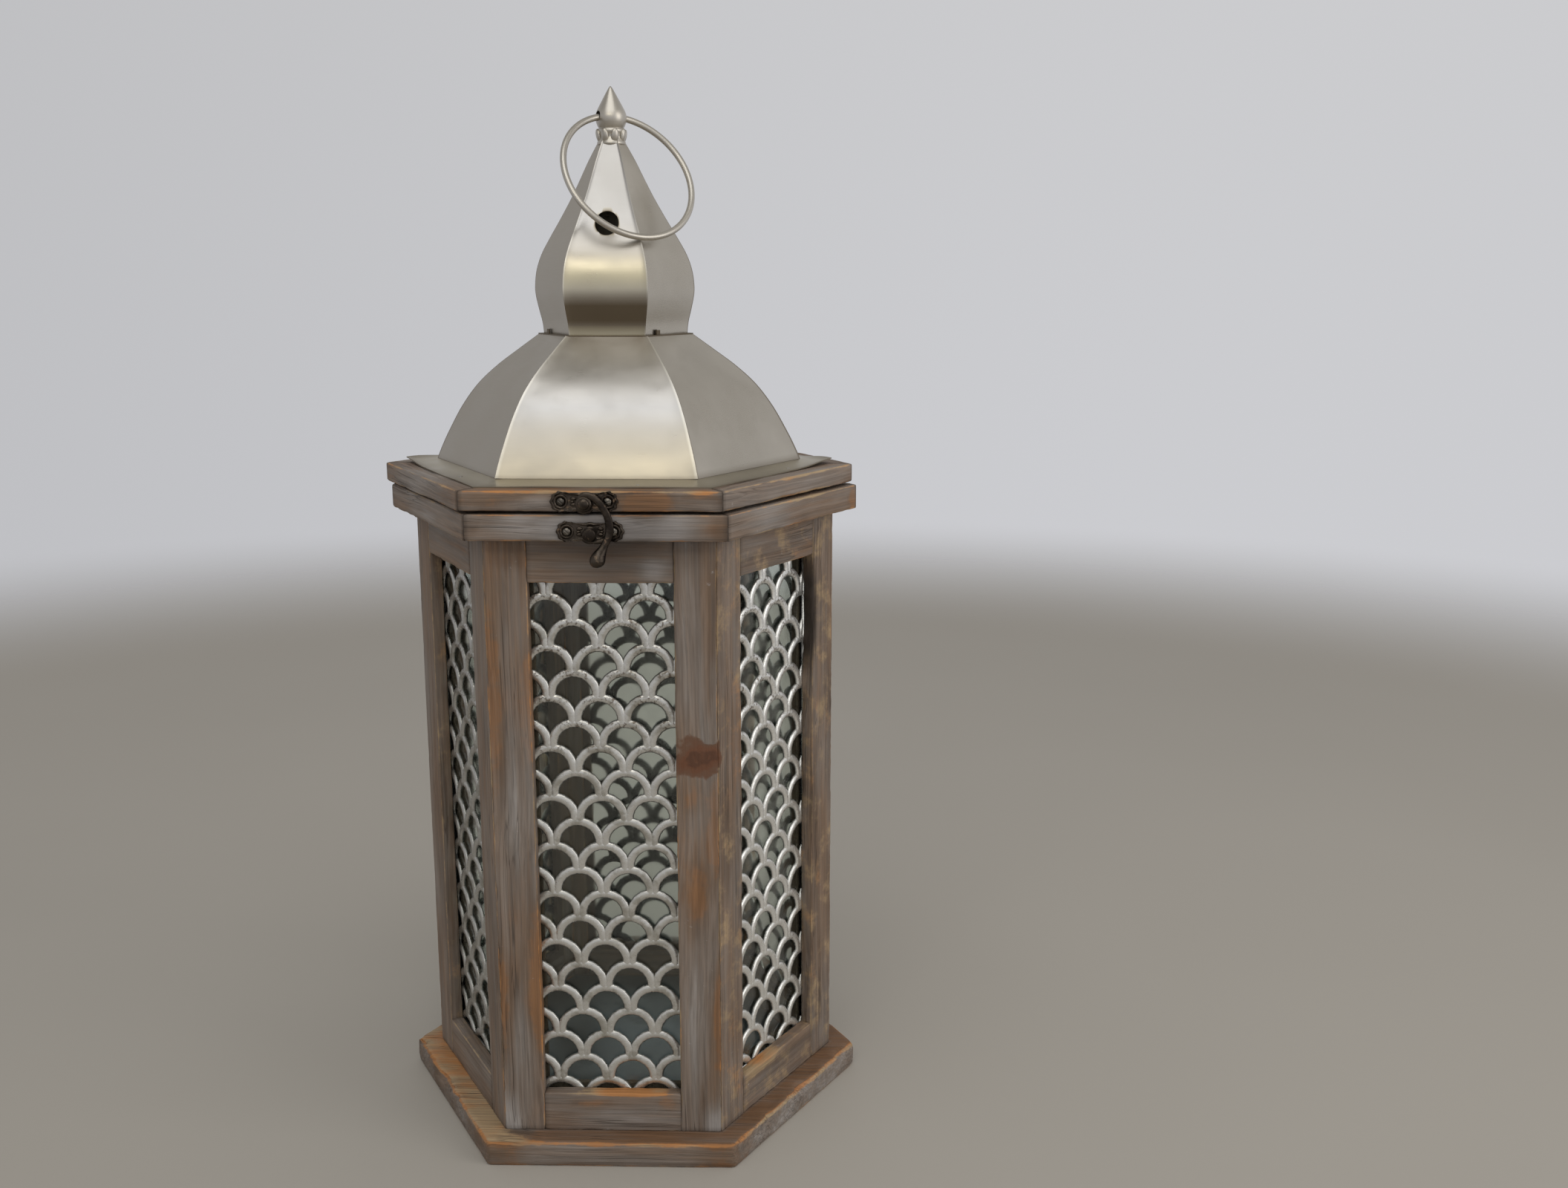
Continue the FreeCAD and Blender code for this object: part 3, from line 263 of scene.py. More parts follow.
def clamp(value: float) -> float:
    """Return a value kept from 0 to 1."""
    return max(0.0, min(1.0, value))


def ray(angle: float) -> Vector:
    """Return the flat direction of an angle in radians."""
    return Vector((math.cos(angle), math.sin(angle)))


def shown(name: str, data: bpy.types.ID) -> Object:
    """Put a new object in the scene and return it."""
    piece = bpy.data.objects.new(name, data)
    bpy.context.scene.collection.objects.link(piece)
    return piece


def finished(name: str, mesh: Mesh) -> Object:
    """Merge a mesh's doubles, turn its faces outwards and put it in the scene.

    Args:
        name: the piece's name.
        mesh: the mesh, in metres.

    Returns:
        The new object at the origin, smoothly shaded.
    """
    work = bmesh.new()
    work.from_mesh(mesh)
    bmesh.ops.remove_doubles(work, verts=work.verts, dist=1e-6)
    bmesh.ops.recalc_face_normals(work, faces=work.faces)
    for face in work.faces:
        face.smooth = True
    work.to_mesh(mesh)
    work.free()
    return shown(name, mesh)


def baked(source: Object) -> Mesh:
    """Return the mesh that an object's modifiers give, and remove the object."""
    graph = bpy.context.evaluated_depsgraph_get()
    mesh = bpy.data.meshes.new_from_object(source.evaluated_get(graph))
    bpy.data.objects.remove(source)
    return mesh


def joined(name: str, meshes: Sequence[Mesh]) -> Object:
    """Return one object that holds several meshes, with outward faces."""
    work = bmesh.new()
    for mesh in meshes:
        work.from_mesh(mesh)
    whole = bpy.data.meshes.new(name)
    work.to_mesh(whole)
    work.free()
    return finished(name, whole)


def drilled(piece: Object, name: str, place: Matrix, radius: float, depth: float, segments: int) -> Object:
    """Cut a round hole out of a piece.

    Args:
        piece: the piece, which the result takes the place of.
        name: the result's name.
        place: the middle of the hole in metres, with its way along the third axis.
        radius: the hole's radius in millimetres.
        depth: the length of what is cut away in millimetres.
        segments: the number of faces round the hole.

    Returns:
        The new object at the origin.
    """
    work = bmesh.new()
    bmesh.ops.create_cone(work, cap_ends=True, segments=segments, radius1=radius * MM,
                          radius2=radius * MM, depth=depth * MM, matrix=place)
    drill_mesh = bpy.data.meshes.new("drill")
    work.to_mesh(drill_mesh)
    work.free()
    drill = shown("drill", drill_mesh)
    modifier = piece.modifiers.new("drill", "BOOLEAN")
    modifier.operation = "DIFFERENCE"
    modifier.solver = "EXACT"
    modifier.object = drill
    mesh = baked(piece)
    bpy.data.objects.remove(drill)
    mesh.name = name
    return finished(name, mesh)


def smooth_line(stations: Sequence[tuple[float, ...]], steps: int) -> list[tuple[float, ...]]:
    """Return points of a smooth line through stations.

    Args:
        stations: the points that the line runs through.
        steps: the number of points from one station to the next.

    Returns:
        The points of the line, the first and last station among them.
    """
    padded = [stations[0], *stations, stations[-1]]
    line: list[tuple[float, ...]] = []
    for before, start, end, after in zip(padded, padded[1:], padded[2:], padded[3:]):
        for step in range(steps):
            t = step / steps
            line.append(tuple(
                0.5 * (2 * b + (c - a) * t + (2 * a - 5 * b + 4 * c - d) * t * t
                       + (3 * b - a - 3 * c + d) * t ** 3)
                for a, b, c, d in zip(before, start, end, after)
            ))
    line.append(tuple(stations[-1]))
    return line


# -------- node trees

def opaque(colour: Colour) -> tuple[float, float, float, float]:
    """Return a colour with its fourth number."""
    return (*colour, 1.0)


class Graph:
    """A node tree with short ways to add nodes and join them."""

    def __init__(self, tree: NodeTree) -> None:
        """Start with an empty tree."""
        self.tree = tree
        tree.nodes.clear()

    def add(self, kind: str, inputs: Optional[dict[Union[str, int], Setting]] = None,
            **settings: Setting) -> Node:
        """Add a node.

        Args:
            kind: the node's type.
            inputs: a value or another node's output for each named or numbered input.
            settings: the node's own properties.

        Returns:
            The new node.
        """
        node = self.tree.nodes.new(kind)
        for word, value in settings.items():
            setattr(node, word, value)
        for word, value in (inputs or {}).items():
            if isinstance(value, NodeSocket):
                self.tree.links.new(value, node.inputs[word])
            else:
                node.inputs[word].default_value = value
        return node

    def out(self, kind: str, inputs: Optional[dict[Union[str, int], Setting]] = None,
            **settings: Setting) -> NodeSocket:
        """Add a node, described as for add, and return its first output."""
        return self.add(kind, inputs, **settings).outputs[0]

    def maths(self, operation: str, first: Setting, second: Setting = 0.0,
              third: Setting = 0.0) -> NodeSocket:
        """Return the result of a sum on up to three values, not kept within any limits."""
        return self.out("ShaderNodeMath", {0: first, 1: second, 2: third}, operation=operation)

    def times(self, first: Setting, second: Setting) -> NodeSocket:
        """Return one value multiplied by another."""
        return self.maths("MULTIPLY", first, second)

    def vector(self, operation: str, first: Setting, second: Setting) -> NodeSocket:
        """Return the result of a sum on vectors."""
        return self.out("ShaderNodeVectorMath", {0: first, 1: second}, operation=operation)

    def stretch(self, vector: Setting, factors: Setting) -> NodeSocket:
        """Return a vector with each part multiplied by its own factor."""
        return self.vector("MULTIPLY", vector, factors)

    def xyz(self, *parts: Setting) -> NodeSocket:
        """Return a vector of up to three parts; those left out are 0."""
        return self.out("ShaderNodeCombineXYZ", dict(enumerate(parts)))

    def noise(self, vector: Setting, scale: Setting, detail: float, rough: float = 0.55) -> NodeSocket:
        """Return a noise value round one half."""
        return self.out("ShaderNodeTexNoise", {
            "Vector": vector, "Scale": scale, "Detail": detail, "Roughness": rough,
        })

    def span(self, value: Setting, low: float, high: float, start: float = 0.0,
             end: float = 1.0) -> NodeSocket:
        """Return a value's place between two levels, clamped, on a smooth step."""
        return self.out("ShaderNodeMapRange", {
            "Value": value, "From Min": low, "From Max": high, "To Min": start, "To Max": end,
        }, interpolation_type="SMOOTHSTEP")

    def mix(self, share: Setting, first: Union[Colour, NodeSocket],
            second: Union[Colour, NodeSocket]) -> NodeSocket:
        """Return a blend of two colours, each three numbers or another node's output."""
        first, second = (opaque(end) if isinstance(end, tuple) else end for end in (first, second))
        return self.add("ShaderNodeMix", {0: share, 6: first, 7: second}, data_type="RGBA").outputs[2]

    def place(self, group: NodeTree, **inputs: Setting) -> Node:
        """Place a node group with a value or another node's output for each named input."""
        return self.add("ShaderNodeGroup", inputs, node_tree=group)


class Spread:
    """A Geometry Nodes tree with named inputs that sets copies of one form on points."""

    KINDS = {float: "NodeSocketFloat", int: "NodeSocketInt", bool: "NodeSocketBool"}

    def __init__(self, name: str, values: dict[str, Union[float, int, bool]],
                 places: Optional[Mesh] = None) -> None:
        """Start the tree.

        Args:
            name: the tree's name.
            values: the value of each named input, whose type the input takes.
            places: the mesh that the tree is given, where it doesn't make its own points.
        """
        self.tree = bpy.data.node_groups.new(name, "GeometryNodeTree")
        self.graph = Graph(self.tree)
        self.values = values
        self.places = places
        sockets = self.tree.interface
        if places:
            sockets.new_socket("Geometry", in_out="INPUT", socket_type="NodeSocketGeometry")
        self.sockets = {
            word: sockets.new_socket(word, in_out="INPUT", socket_type=self.KINDS[type(value)]).identifier
            for word, value in values.items()
        }
        sockets.new_socket("Geometry", in_out="OUTPUT", socket_type="NodeSocketGeometry")
        self.given = self.graph.add("NodeGroupInput").outputs

    def copies(self, points: NodeSocket, form: NodeSocket, **turned: NodeSocket) -> NodeSocket:
        """Return real copies of a form on points, turned by a Rotation if one is given."""
        placed = self.graph.out("GeometryNodeInstanceOnPoints", {
            "Points": points, "Instance": form, **turned,
        })
        return self.graph.out("GeometryNodeRealizeInstances", {"Geometry": placed})

    def mesh(self, geometry: NodeSocket, material: Material) -> Mesh:
        """Finish the tree and return what it makes as a plain mesh.

        Args:
            geometry: the copies.
            material: their material.

        Returns:
            The mesh in metres, with the tree's object already removed.
        """
        ready = self.graph.out("GeometryNodeSetMaterial", {"Geometry": geometry, "Material": material})
        self.graph.add("NodeGroupOutput", {"Geometry": ready})
        name = self.tree.name
        carrier = shown(name, self.places or bpy.data.meshes.new(name))
        modifier = carrier.modifiers.new(name, "NODES")
        modifier.node_group = self.tree
        for word, value in self.values.items():
            modifier[self.sockets[word]] = value
        return baked(carrier)


class Effects:
    """Shader node groups that more than one finish uses, each built once."""

    def __init__(self) -> None:
        """Build the groups."""
        self.grain = self._grain()
        self.worn_edge = self._worn_edge()
        self.wash = self._wash()
        self.brushed = self._brushed()
        self.speckle = self._speckle()

    @staticmethod
    def _open(name: str, inputs: dict[str, Union[float, Triple]],
              outputs: Iterable[str]) -> tuple[Graph, list[NodeSocket]]:
        """Start a group.

        Args:
            name: the group's name.
            inputs: the name and default value of each input, one number or three.
            outputs: the name of each output; all are values.

        Returns:
            The group's graph, and its inputs in their order.
        """
        tree = bpy.data.node_groups.new(name, "ShaderNodeTree")
        graph = Graph(tree)
        for word, value in inputs.items():
            kind = "NodeSocketFloat" if isinstance(value, float) else "NodeSocketVector"
            socket = tree.interface.new_socket(word, in_out="INPUT", socket_type=kind)
            socket.default_value = value
        for word in outputs:
            tree.interface.new_socket(word, in_out="OUTPUT", socket_type="NodeSocketFloat")
        return graph, list(graph.add("NodeGroupInput").outputs)[:len(inputs)]

    @staticmethod
    def _close(graph: Graph, **results: NodeSocket) -> NodeTree:
        """Join the results to a group's outputs and return the group."""
        graph.add("NodeGroupOutput", results)
        return graph.tree

    def _grain(self) -> NodeTree:
        """Soft fibres, wide streaks and sparse open grooves along a board's third axis."""
        graph, (coords,) = self._open(
            "BoardGrain", {"Coords": ORIGIN}, ("Fibre", "Streak", "Groove", "Height"))
        slow = graph.noise(graph.stretch(coords, (1.0, 1.0, 0.3)), 14.0, 2.0)
        sway = graph.times(graph.maths("SUBTRACT", slow, 0.5), 0.016)
        bent = graph.vector("ADD", coords, graph.xyz(sway, sway))
        fibre = graph.noise(graph.stretch(bent, (1.0, 1.0, 0.02)), 620.0, 4.0, 0.6)
        wide = graph.noise(graph.stretch(bent, (1.0, 1.0, 0.06)), 90.0, 4.0, 0.55)
        narrow = graph.noise(graph.stretch(bent, (1.0, 1.0, 0.022)), 300.0, 4.0, 0.62)
        streak = graph.maths("MULTIPLY_ADD", wide, 0.5, graph.times(narrow, 0.5))
        line = graph.noise(graph.stretch(bent, (1.0, 1.0, 0.013)), 300.0, 2.0, 0.5)
        where = graph.noise(graph.stretch(coords, (1.0, 1.0, 0.2)), 34.0, 2.0)
        crossing = graph.maths("ABSOLUTE", graph.maths("SUBTRACT", line, 0.5))
        groove = graph.times(graph.span(crossing, 0.0, 0.028, 1.0, 0.0), graph.span(where, 0.42, 0.62))
        clear = graph.span(fibre, 0.3, 0.7)
        height = graph.maths("SUBTRACT", graph.times(clear, 0.35), graph.times(groove, 0.9))
        height = graph.maths("ADD", height, graph.times(streak, 0.6))
        return self._close(graph, Fibre=clear, Streak=streak, Groove=groove, Height=height)

    def _worn_edge(self) -> NodeTree:
        """Where rubbing has taken the finish off, from the closeness of an arris."""
        graph, (coords, closeness, amount) = self._open(
            "EdgeWear", {"Coords": ORIGIN, "Closeness": 0.0, "Amount": 0.5}, ("Mask",))
        rough = graph.noise(coords, 55.0, 5.0, 0.65)
        level = graph.maths("ADD", graph.times(rough, 1.3), closeness)
        limit = graph.maths("SUBTRACT", 2.05, amount)
        return self._close(graph, Mask=graph.span(graph.maths("SUBTRACT", level, limit), -0.12, 0.2))

    def _wash(self) -> NodeTree:
        """Thin pale paint that is left in streaks and lies in the fibres."""
        graph, (coords, amount, streak) = self._open(
            "Whitewash", {"Coords": ORIGIN, "Amount": 0.3, "Streak": 0.5}, ("Mask", "Thick"))
        patch = graph.noise(graph.stretch(coords, (1.0, 1.0, 0.3)), 30.0, 4.0, 0.6)
        level = graph.maths("ADD", graph.times(patch, 0.85), streak)
        level = graph.maths("ADD", level, amount)
        return self._close(graph, Mask=graph.span(level, 0.80, 1.32), Thick=graph.span(level, 1.17, 1.62))

    def _brushed(self) -> NodeTree:
        """Fine brush lines with clouds and stains of a handled sheet."""
        graph, (coords, along) = self._open(
            "BrushedSheet", {"Coords": ORIGIN, "Along": (0.04, 1.0, 1.0)}, ("Line", "Cloud", "Stain"))
        line = graph.noise(graph.stretch(coords, along), 1500.0, 3.0, 0.6)
        cloud = graph.span(graph.noise(coords, 14.0, 4.0, 0.55), 0.3, 0.7)
        stain = graph.span(graph.noise(coords, 45.0, 3.0, 0.5), 0.56, 0.72)
        return self._close(graph, Line=line, Cloud=cloud, Stain=stain)

    def _speckle(self) -> NodeTree:
        """Small pits and flecks."""
        graph, (coords, size, cover) = self._open(
            "Speckle", {"Coords": ORIGIN, "Size": 0.002, "Cover": 0.3}, ("Mask", "Height"))
        pits = graph.noise(coords, graph.maths("DIVIDE", 1.0, size), 4.0, 0.6)
        level = graph.maths("ADD", pits, graph.times(cover, 0.4))
        return self._close(graph, Mask=graph.span(level, 0.62, 0.74), Height=pits)


# -------- finishes

@dataclass(frozen=True)
class Finish:
    """What every finish has: a name and how strongly its surface stands out."""

    name: str
    relief: float = 0.4

    def start(self) -> tuple[Material, Graph, Node]:
        """Make an empty material.

        Returns:
            The material, its graph and its Principled BSDF, joined to the output.
        """
        material = bpy.data.materials.new(self.name)
        material.use_nodes = True
        graph = Graph(material.node_tree)
        shader = graph.add("ShaderNodeBsdfPrincipled")
        graph.add("ShaderNodeOutputMaterial", {"Surface": shader.outputs[0]})
        return material, graph, shader

    def bump(self, graph: Graph, shader: Node, height: Setting, distance: float) -> None:
        """Give a shader the relief of a height."""
        self.join(graph, shader, Normal=graph.out("ShaderNodeBump", {
            "Strength": self.relief, "Distance": distance, "Height": height,
        }))

    @staticmethod
    def own_coords(graph: Graph) -> NodeSocket:
        """Return the piece's Object coordinates."""
        return graph.add("ShaderNodeTexCoord").outputs["Object"]

    @staticmethod
    def written(graph: Graph) -> tuple[NodeSocket, ...]:
        """Return the wear, wash, warmth and darkness written on the points, which also carry painted light
        and shade.
        """
        tone = graph.add("ShaderNodeAttribute", attribute_name=TONE)
        parts = graph.add("ShaderNodeSeparateColor", {0: tone.outputs["Color"]})
        return (*parts.outputs, tone.outputs["Alpha"])

    @staticmethod
    def grain_coords(graph: Graph) -> NodeSocket:
        """Return the coordinates along the grain that are written on the points."""
        return graph.add("ShaderNodeAttribute", attribute_name=GRAIN).outputs["Vector"]

    @staticmethod
    def join(graph: Graph, shader: Node, **inputs: NodeSocket) -> None:
        """Join outputs to a shader's inputs; an underscore stands for a space."""
        for word, socket in inputs.items():
            graph.tree.links.new(socket, shader.inputs[word.replace("_", " ")])


@dataclass(frozen=True)
class WeatheredWood(Finish):
    """Softwood stained brown, washed with grey paint and rubbed at its edges."""

    ground: Colour = (0.212, 0.141, 0.094)
    shade: Colour = (0.142, 0.094, 0.063)
    rust: Colour = (0.268, 0.131, 0.056)
    wash: Colour = (0.262, 0.234, 0.210)
    chalk: Colour = (0.44, 0.415, 0.40)
    worn: Colour = (0.430, 0.305, 0.172)
    bare: Colour = (0.52, 0.225, 0.070)
    groove: Colour = (0.036, 0.025, 0.018)
    knot: Colour = (0.152, 0.061, 0.029)
    knot_at: Triple = (0.0612, -0.1299, 0.2868)
    knot_size: Triple = (0.0310, 0.005, 0.0140)

    def build(self, effects: Effects) -> Material:
        """Return the material."""
        material, graph, shader = self.start()
        wear, painted, warmth, dark = self.written(graph)
        coords = self.grain_coords(graph)
        grain = graph.place(effects.grain, Coords=coords)
        fibre, streak = grain.outputs["Fibre"], grain.outputs["Streak"]
        brown = graph.noise(graph.stretch(coords, (1.0, 1.0, 0.10)), 85.0, 4.0, 0.6)
        cloud = graph.noise(graph.stretch(coords, (1.0, 1.0, 0.45)), 34.0, 4.0, 0.6)
        colour = graph.mix(graph.span(brown, 0.34, 0.62), self.shade, self.ground)
        colour = graph.mix(graph.span(cloud, 0.52, 0.74, 0.0, 0.45), colour, self.rust)
        warm = graph.place(effects.worn_edge, Coords=coords, Closeness=warmth, Amount=0.9)
        colour = graph.mix(graph.times(warm.outputs[0], 0.7), colour, self.rust)
        wash = graph.place(effects.wash, Coords=coords, Amount=painted, Streak=streak)
        colour = graph.mix(graph.times(wash.outputs["Mask"], 0.72), colour, self.wash)
        colour = graph.mix(graph.times(wash.outputs["Thick"], 0.75), colour, self.chalk)
        edge = graph.place(effects.worn_edge, Coords=coords, Closeness=wear, Amount=0.5)
        hue = graph.maths("MULTIPLY_ADD", warmth, 0.3, cloud)
        rubbed = graph.mix(graph.span(hue, 0.48, 0.70), self.worn, self.bare)
        colour = graph.mix(graph.times(edge.outputs[0], 0.8), colour, rubbed)
        flecks = graph.place(effects.speckle, Coords=coords, Size=0.0055, Cover=-0.16)
        colour = graph.mix(graph.times(flecks.outputs["Mask"], 0.6), colour, self.chalk)
        colour = graph.out("ShaderNodeHueSaturation", {
            "Value": graph.span(fibre, 0.0, 1.0, 0.84, 1.14), "Color": colour,
        })
        colour = graph.mix(graph.times(grain.outputs["Groove"], 0.6), colour, self.groove)
        # dark joints and bark, and painted shadow under the rim, all towards the groove colour
        colour = graph.mix(dark, colour, self.groove)
        colour, ring = self._knot(graph, colour)
        height = graph.maths("ADD", grain.outputs["Height"], graph.times(ring, 0.25))
        self.join(graph, shader, Base_Color=colour, Roughness=graph.span(fibre, 0.0, 1.0, 0.58, 0.8))
        shader.inputs["Specular IOR Level"].default_value = 0.35
        self.bump(graph, shader, height, 0.0007)
        return material

    def _knot(self, graph: Graph, colour: Setting) -> tuple[NodeSocket, NodeSocket]:
        """Add one knot of the front right post to a colour.

        Args:
            graph: the material's graph.
            colour: the wood's colour without it.

        Returns:
            The colour with it, and its rings as a height.
        """
        here = self.own_coords(graph)
        away = graph.vector("SUBTRACT", here, self.knot_at)
        squeezed = graph.stretch(away, tuple(1.0 / half for half in self.knot_size))
        swirl = graph.add("ShaderNodeTexNoise", {"Vector": here, "Scale": 60.0, "Detail": 5.0})
        ragged = graph.vector("ADD", squeezed, graph.stretch(
            graph.vector("SUBTRACT", swirl.outputs[1], HALVES), (2.3, 0.0, 2.3)))
        far = graph.add("ShaderNodeVectorMath", {0: ragged}, operation="LENGTH").outputs[1]
        mask = graph.span(far, 0.80, 0.98, 1.0, 0.0)
        rim = graph.times(graph.span(far, 0.5, 0.85), mask)
        ring = graph.maths("SINE", graph.times(far, 7.0))
        dark = tuple(0.45 * part for part in self.knot)
        inner = graph.mix(graph.times(graph.span(ring, -0.4, 1.0), 0.6), self.knot, dark)
        inner = graph.mix(graph.times(rim, 0.5), inner, self.shade)
        return graph.mix(graph.times(mask, 0.95), colour, inner), graph.times(mask, ring)


@dataclass(frozen=True)
class PlainWood(Finish):
    """The thin stained strips behind the panes."""

    ground: Colour = (0.150, 0.105, 0.075)
    shade: Colour = (0.080, 0.055, 0.038)

    def build(self, effects: Effects) -> Material:
        """Return the material."""
        material, graph, shader = self.start()
        grain = graph.place(effects.grain, Coords=self.own_coords(graph))
        colour = graph.mix(grain.outputs["Streak"], self.shade, self.ground)
        self.join(graph, shader, Base_Color=colour,
                  Roughness=graph.span(grain.outputs["Fibre"], 0.0, 1.0, 0.65, 0.85))
        self.bump(graph, shader, grain.outputs["Height"], 0.0005)
        return material


@dataclass(frozen=True)
class BrushedMetal(Finish):
    """Satin sheet or casting with brush lines, clouds and tarnish; a marked one also takes painted
    reflections, highlights and shade from its points.
    """

    bright: Colour = (0.545, 0.505, 0.440)
    dull: Colour = (0.455, 0.415, 0.350)
    # tarnish, and on the roof also painted shade and a painted dark reflection
    stain: Colour = (0.150, 0.118, 0.080)
    # golden tint, and on the roof's front panels also painted warm reflection
    gilt_and_reflection: Colour = (0.62, 0.56, 0.40)
    # painted reflection: the cool bright band on the roof's front panels
    painted_reflection_grey: Colour = (0.458, 0.450, 0.443)
    # painted highlight: lighter seams on the front and back roof panels, and lighter right-hand panels
    painted_highlight_tint: Colour = (0.80, 0.77, 0.69)
    rough: Pair = (0.27, 0.42)
    brushed: float = 0.10
    stained: float = 0.25
    along: Triple = (0.03, 1.0, 1.0)
    marked: bool = True

    def build(self, effects: Effects) -> Material:
        """Return the material."""
        material, graph, shader = self.start()
        coords = self.grain_coords(graph) if self.marked else self.own_coords(graph)
        brushed = graph.place(effects.brushed, Coords=coords, Along=self.along)
        cloud, line = brushed.outputs["Cloud"], brushed.outputs["Line"]
        colour = graph.mix(cloud, self.dull, self.bright)
        spots = graph.times(brushed.outputs["Stain"], self.stained)
        if self.marked:
            # on the roof: painted highlight, painted cool reflection, golden tint with painted warm
            # reflection, and tarnish with painted shade and dark reflection
            rubbed, grey, warm, dark = self.written(graph)
            colour = graph.mix(grey, colour, self.painted_reflection_grey)
            colour = graph.mix(warm, colour, self.gilt_and_reflection)
            colour = graph.mix(rubbed, colour, self.painted_highlight_tint)
            ticks = graph.place(effects.speckle, Size=0.0045, Cover=-0.13,
                                Coords=graph.stretch(coords, (1.0, 0.22, 1.0)))
            spots = graph.maths("MAXIMUM", spots, graph.times(ticks.outputs["Mask"], 0.28))
            spots = graph.maths("MAXIMUM", spots, dark)
        colour = graph.mix(spots, colour, self.stain)
        rough = graph.maths("ADD", graph.span(cloud, 0.0, 1.0, *self.rough), graph.times(spots, 0.12))
        rough = graph.maths("MULTIPLY_ADD", graph.maths("SUBTRACT", line, 0.5), self.brushed, rough)
        self.join(graph, shader, Base_Color=colour, Roughness=rough)
        shader.inputs["Metallic"].default_value = 1.0
        if self.relief:
            height = graph.maths("ADD", graph.times(line, 0.25), graph.times(cloud, 0.75))
            self.bump(graph, shader, height, 0.0004)
        return material


@dataclass(frozen=True)
class PittedCasting(Finish):
    """Rounded silver casting whose paint is flecked with brown on its crowns; a grille also takes painted
    highlight and painted shade from its points.
    """

    bright: Colour = (0.66, 0.65, 0.615)
    dull: Colour = (0.46, 0.445, 0.40)
    fleck: Colour = (0.13, 0.095, 0.065)
    # painted shade: the nearly black inner side of a grille and the darker left-hand grille
    back: Colour = (0.055, 0.055, 0.050)
    # painted highlight on the lit right-hand grille
    pale: Colour = (0.88, 0.875, 0.84)
    metallic: float = 0.82
    rough: Pair = (0.24, 0.40)
    size: float = 0.0022
    cover: float = 0.30
    crowns_and_painted_light: bool = True

    def build(self, effects: Effects) -> Material:
        """Return the material."""
        material, graph, shader = self.start()
        coords = self.own_coords(graph)
        fine = graph.place(effects.speckle, Coords=coords, Size=self.size, Cover=self.cover)
        broad = graph.place(effects.speckle, Coords=coords, Size=self.size * 7.0, Cover=0.3)
        colour = graph.mix(broad.outputs["Mask"], self.bright, self.dull)
        flecks = graph.times(fine.outputs["Mask"], 0.8)
        if self.crowns_and_painted_light:
            # flecks on the crowns, painted highlight, and painted shade
            crown, painted_highlight, _, behind = self.written(graph)
            flecks = graph.times(flecks, graph.span(crown, 0.25, 0.85))
            colour = graph.mix(painted_highlight, colour, self.pale)
        colour = graph.mix(flecks, colour, self.fleck)
        if self.crowns_and_painted_light:
            colour = graph.mix(behind, colour, self.back)
        self.join(graph, shader, Base_Color=colour,
                  Roughness=graph.span(fine.outputs["Height"], 0.3, 0.7, *self.rough))
        shader.inputs["Metallic"].default_value = self.metallic
        self.bump(graph, shader, fine.outputs["Height"], 0.0006)
        return material


@dataclass(frozen=True)
class WindowGlass(Finish):
    """Thin clear glass with a faint green tint and a little dust."""

    tint: Colour = (0.90, 0.95, 0.92)

    def build(self, effects: Effects) -> Material:
        """Return the material."""
        material, graph, shader = self.start()
        shader.inputs["Base Color"].default_value = opaque(self.tint)
        shader.inputs["IOR"].default_value = 1.45
        shader.inputs["Transmission Weight"].default_value = 1.0
        dust = graph.place(effects.speckle, Coords=self.own_coords(graph), Size=0.02, Cover=0.1)
        self.join(graph, shader, Roughness=graph.span(dust.outputs["Height"], 0.2, 0.9, 0.01, 0.10))
        clear = graph.add("ShaderNodeBsdfTransparent", {"Color": opaque(self.tint)})
        path = graph.add("ShaderNodeLightPath")
        aside = graph.maths("MAXIMUM", path.outputs["Is Shadow Ray"], path.outputs["Is Diffuse Ray"])
        mixed = graph.add("ShaderNodeMixShader", {0: aside, 1: shader.outputs[0], 2: clear.outputs[0]})
        output = next(node for node in graph.tree.nodes if node.type == "OUTPUT_MATERIAL")
        graph.tree.links.new(mixed.outputs[0], output.inputs["Surface"])
        return material


class Finishes:
    """Every finish of the lantern, built once."""

    def __init__(self) -> None:
        """Build the materials."""
        effects = Effects()
        self.wood = WeatheredWood("weathered_wood", 0.55).build(effects)
        self.beads = PlainWood("bead_wood", 0.4).build(effects)
        self.roof = BrushedMetal("roof_sheet", 0.03, stained=0.06).build(effects)
        self.silver = BrushedMetal(
            "finial_metal", 0.0, bright=(0.55, 0.515, 0.455), dull=(0.50, 0.468, 0.413), rough=(0.33, 0.40),
            brushed=0.0, stained=0.04, marked=False, along=(0.1, 0.1, 0.1)).build(effects)
        self.grille = PittedCasting("grille_metal", 0.3).build(effects)
        self.bronze = PittedCasting(
            "dark_bronze", 0.5, bright=(0.078, 0.063, 0.050), dull=(0.034, 0.027, 0.022),
            fleck=(0.24, 0.165, 0.11), metallic=1.0, rough=(0.22, 0.46), size=0.004, cover=0.10,
            crowns_and_painted_light=False).build(effects)
        self.screws = PittedCasting(
            "worn_bronze", 0.3, bright=(0.150, 0.135, 0.115), dull=(0.055, 0.048, 0.041),
            fleck=(0.045, 0.036, 0.030), metallic=1.0, rough=(0.20, 0.36), size=0.003, cover=0.2,
            crowns_and_painted_light=False).build(effects)
        self.steel = BrushedMetal(
            "steel", 0.2, bright=(0.5, 0.47, 0.42), dull=(0.3, 0.28, 0.25), marked=False,
            along=(1.0, 1.0, 1.0)).build(effects)
        self.plate = BrushedMetal(
            "plate_metal", 0.2, bright=(0.34, 0.37, 0.39), dull=(0.22, 0.25, 0.27),
            stain=(0.10, 0.09, 0.08), rough=(0.35, 0.55), marked=False, along=(1.0, 1.0, 1.0)).build(effects)
        self.glass = WindowGlass("window_glass").build(effects)


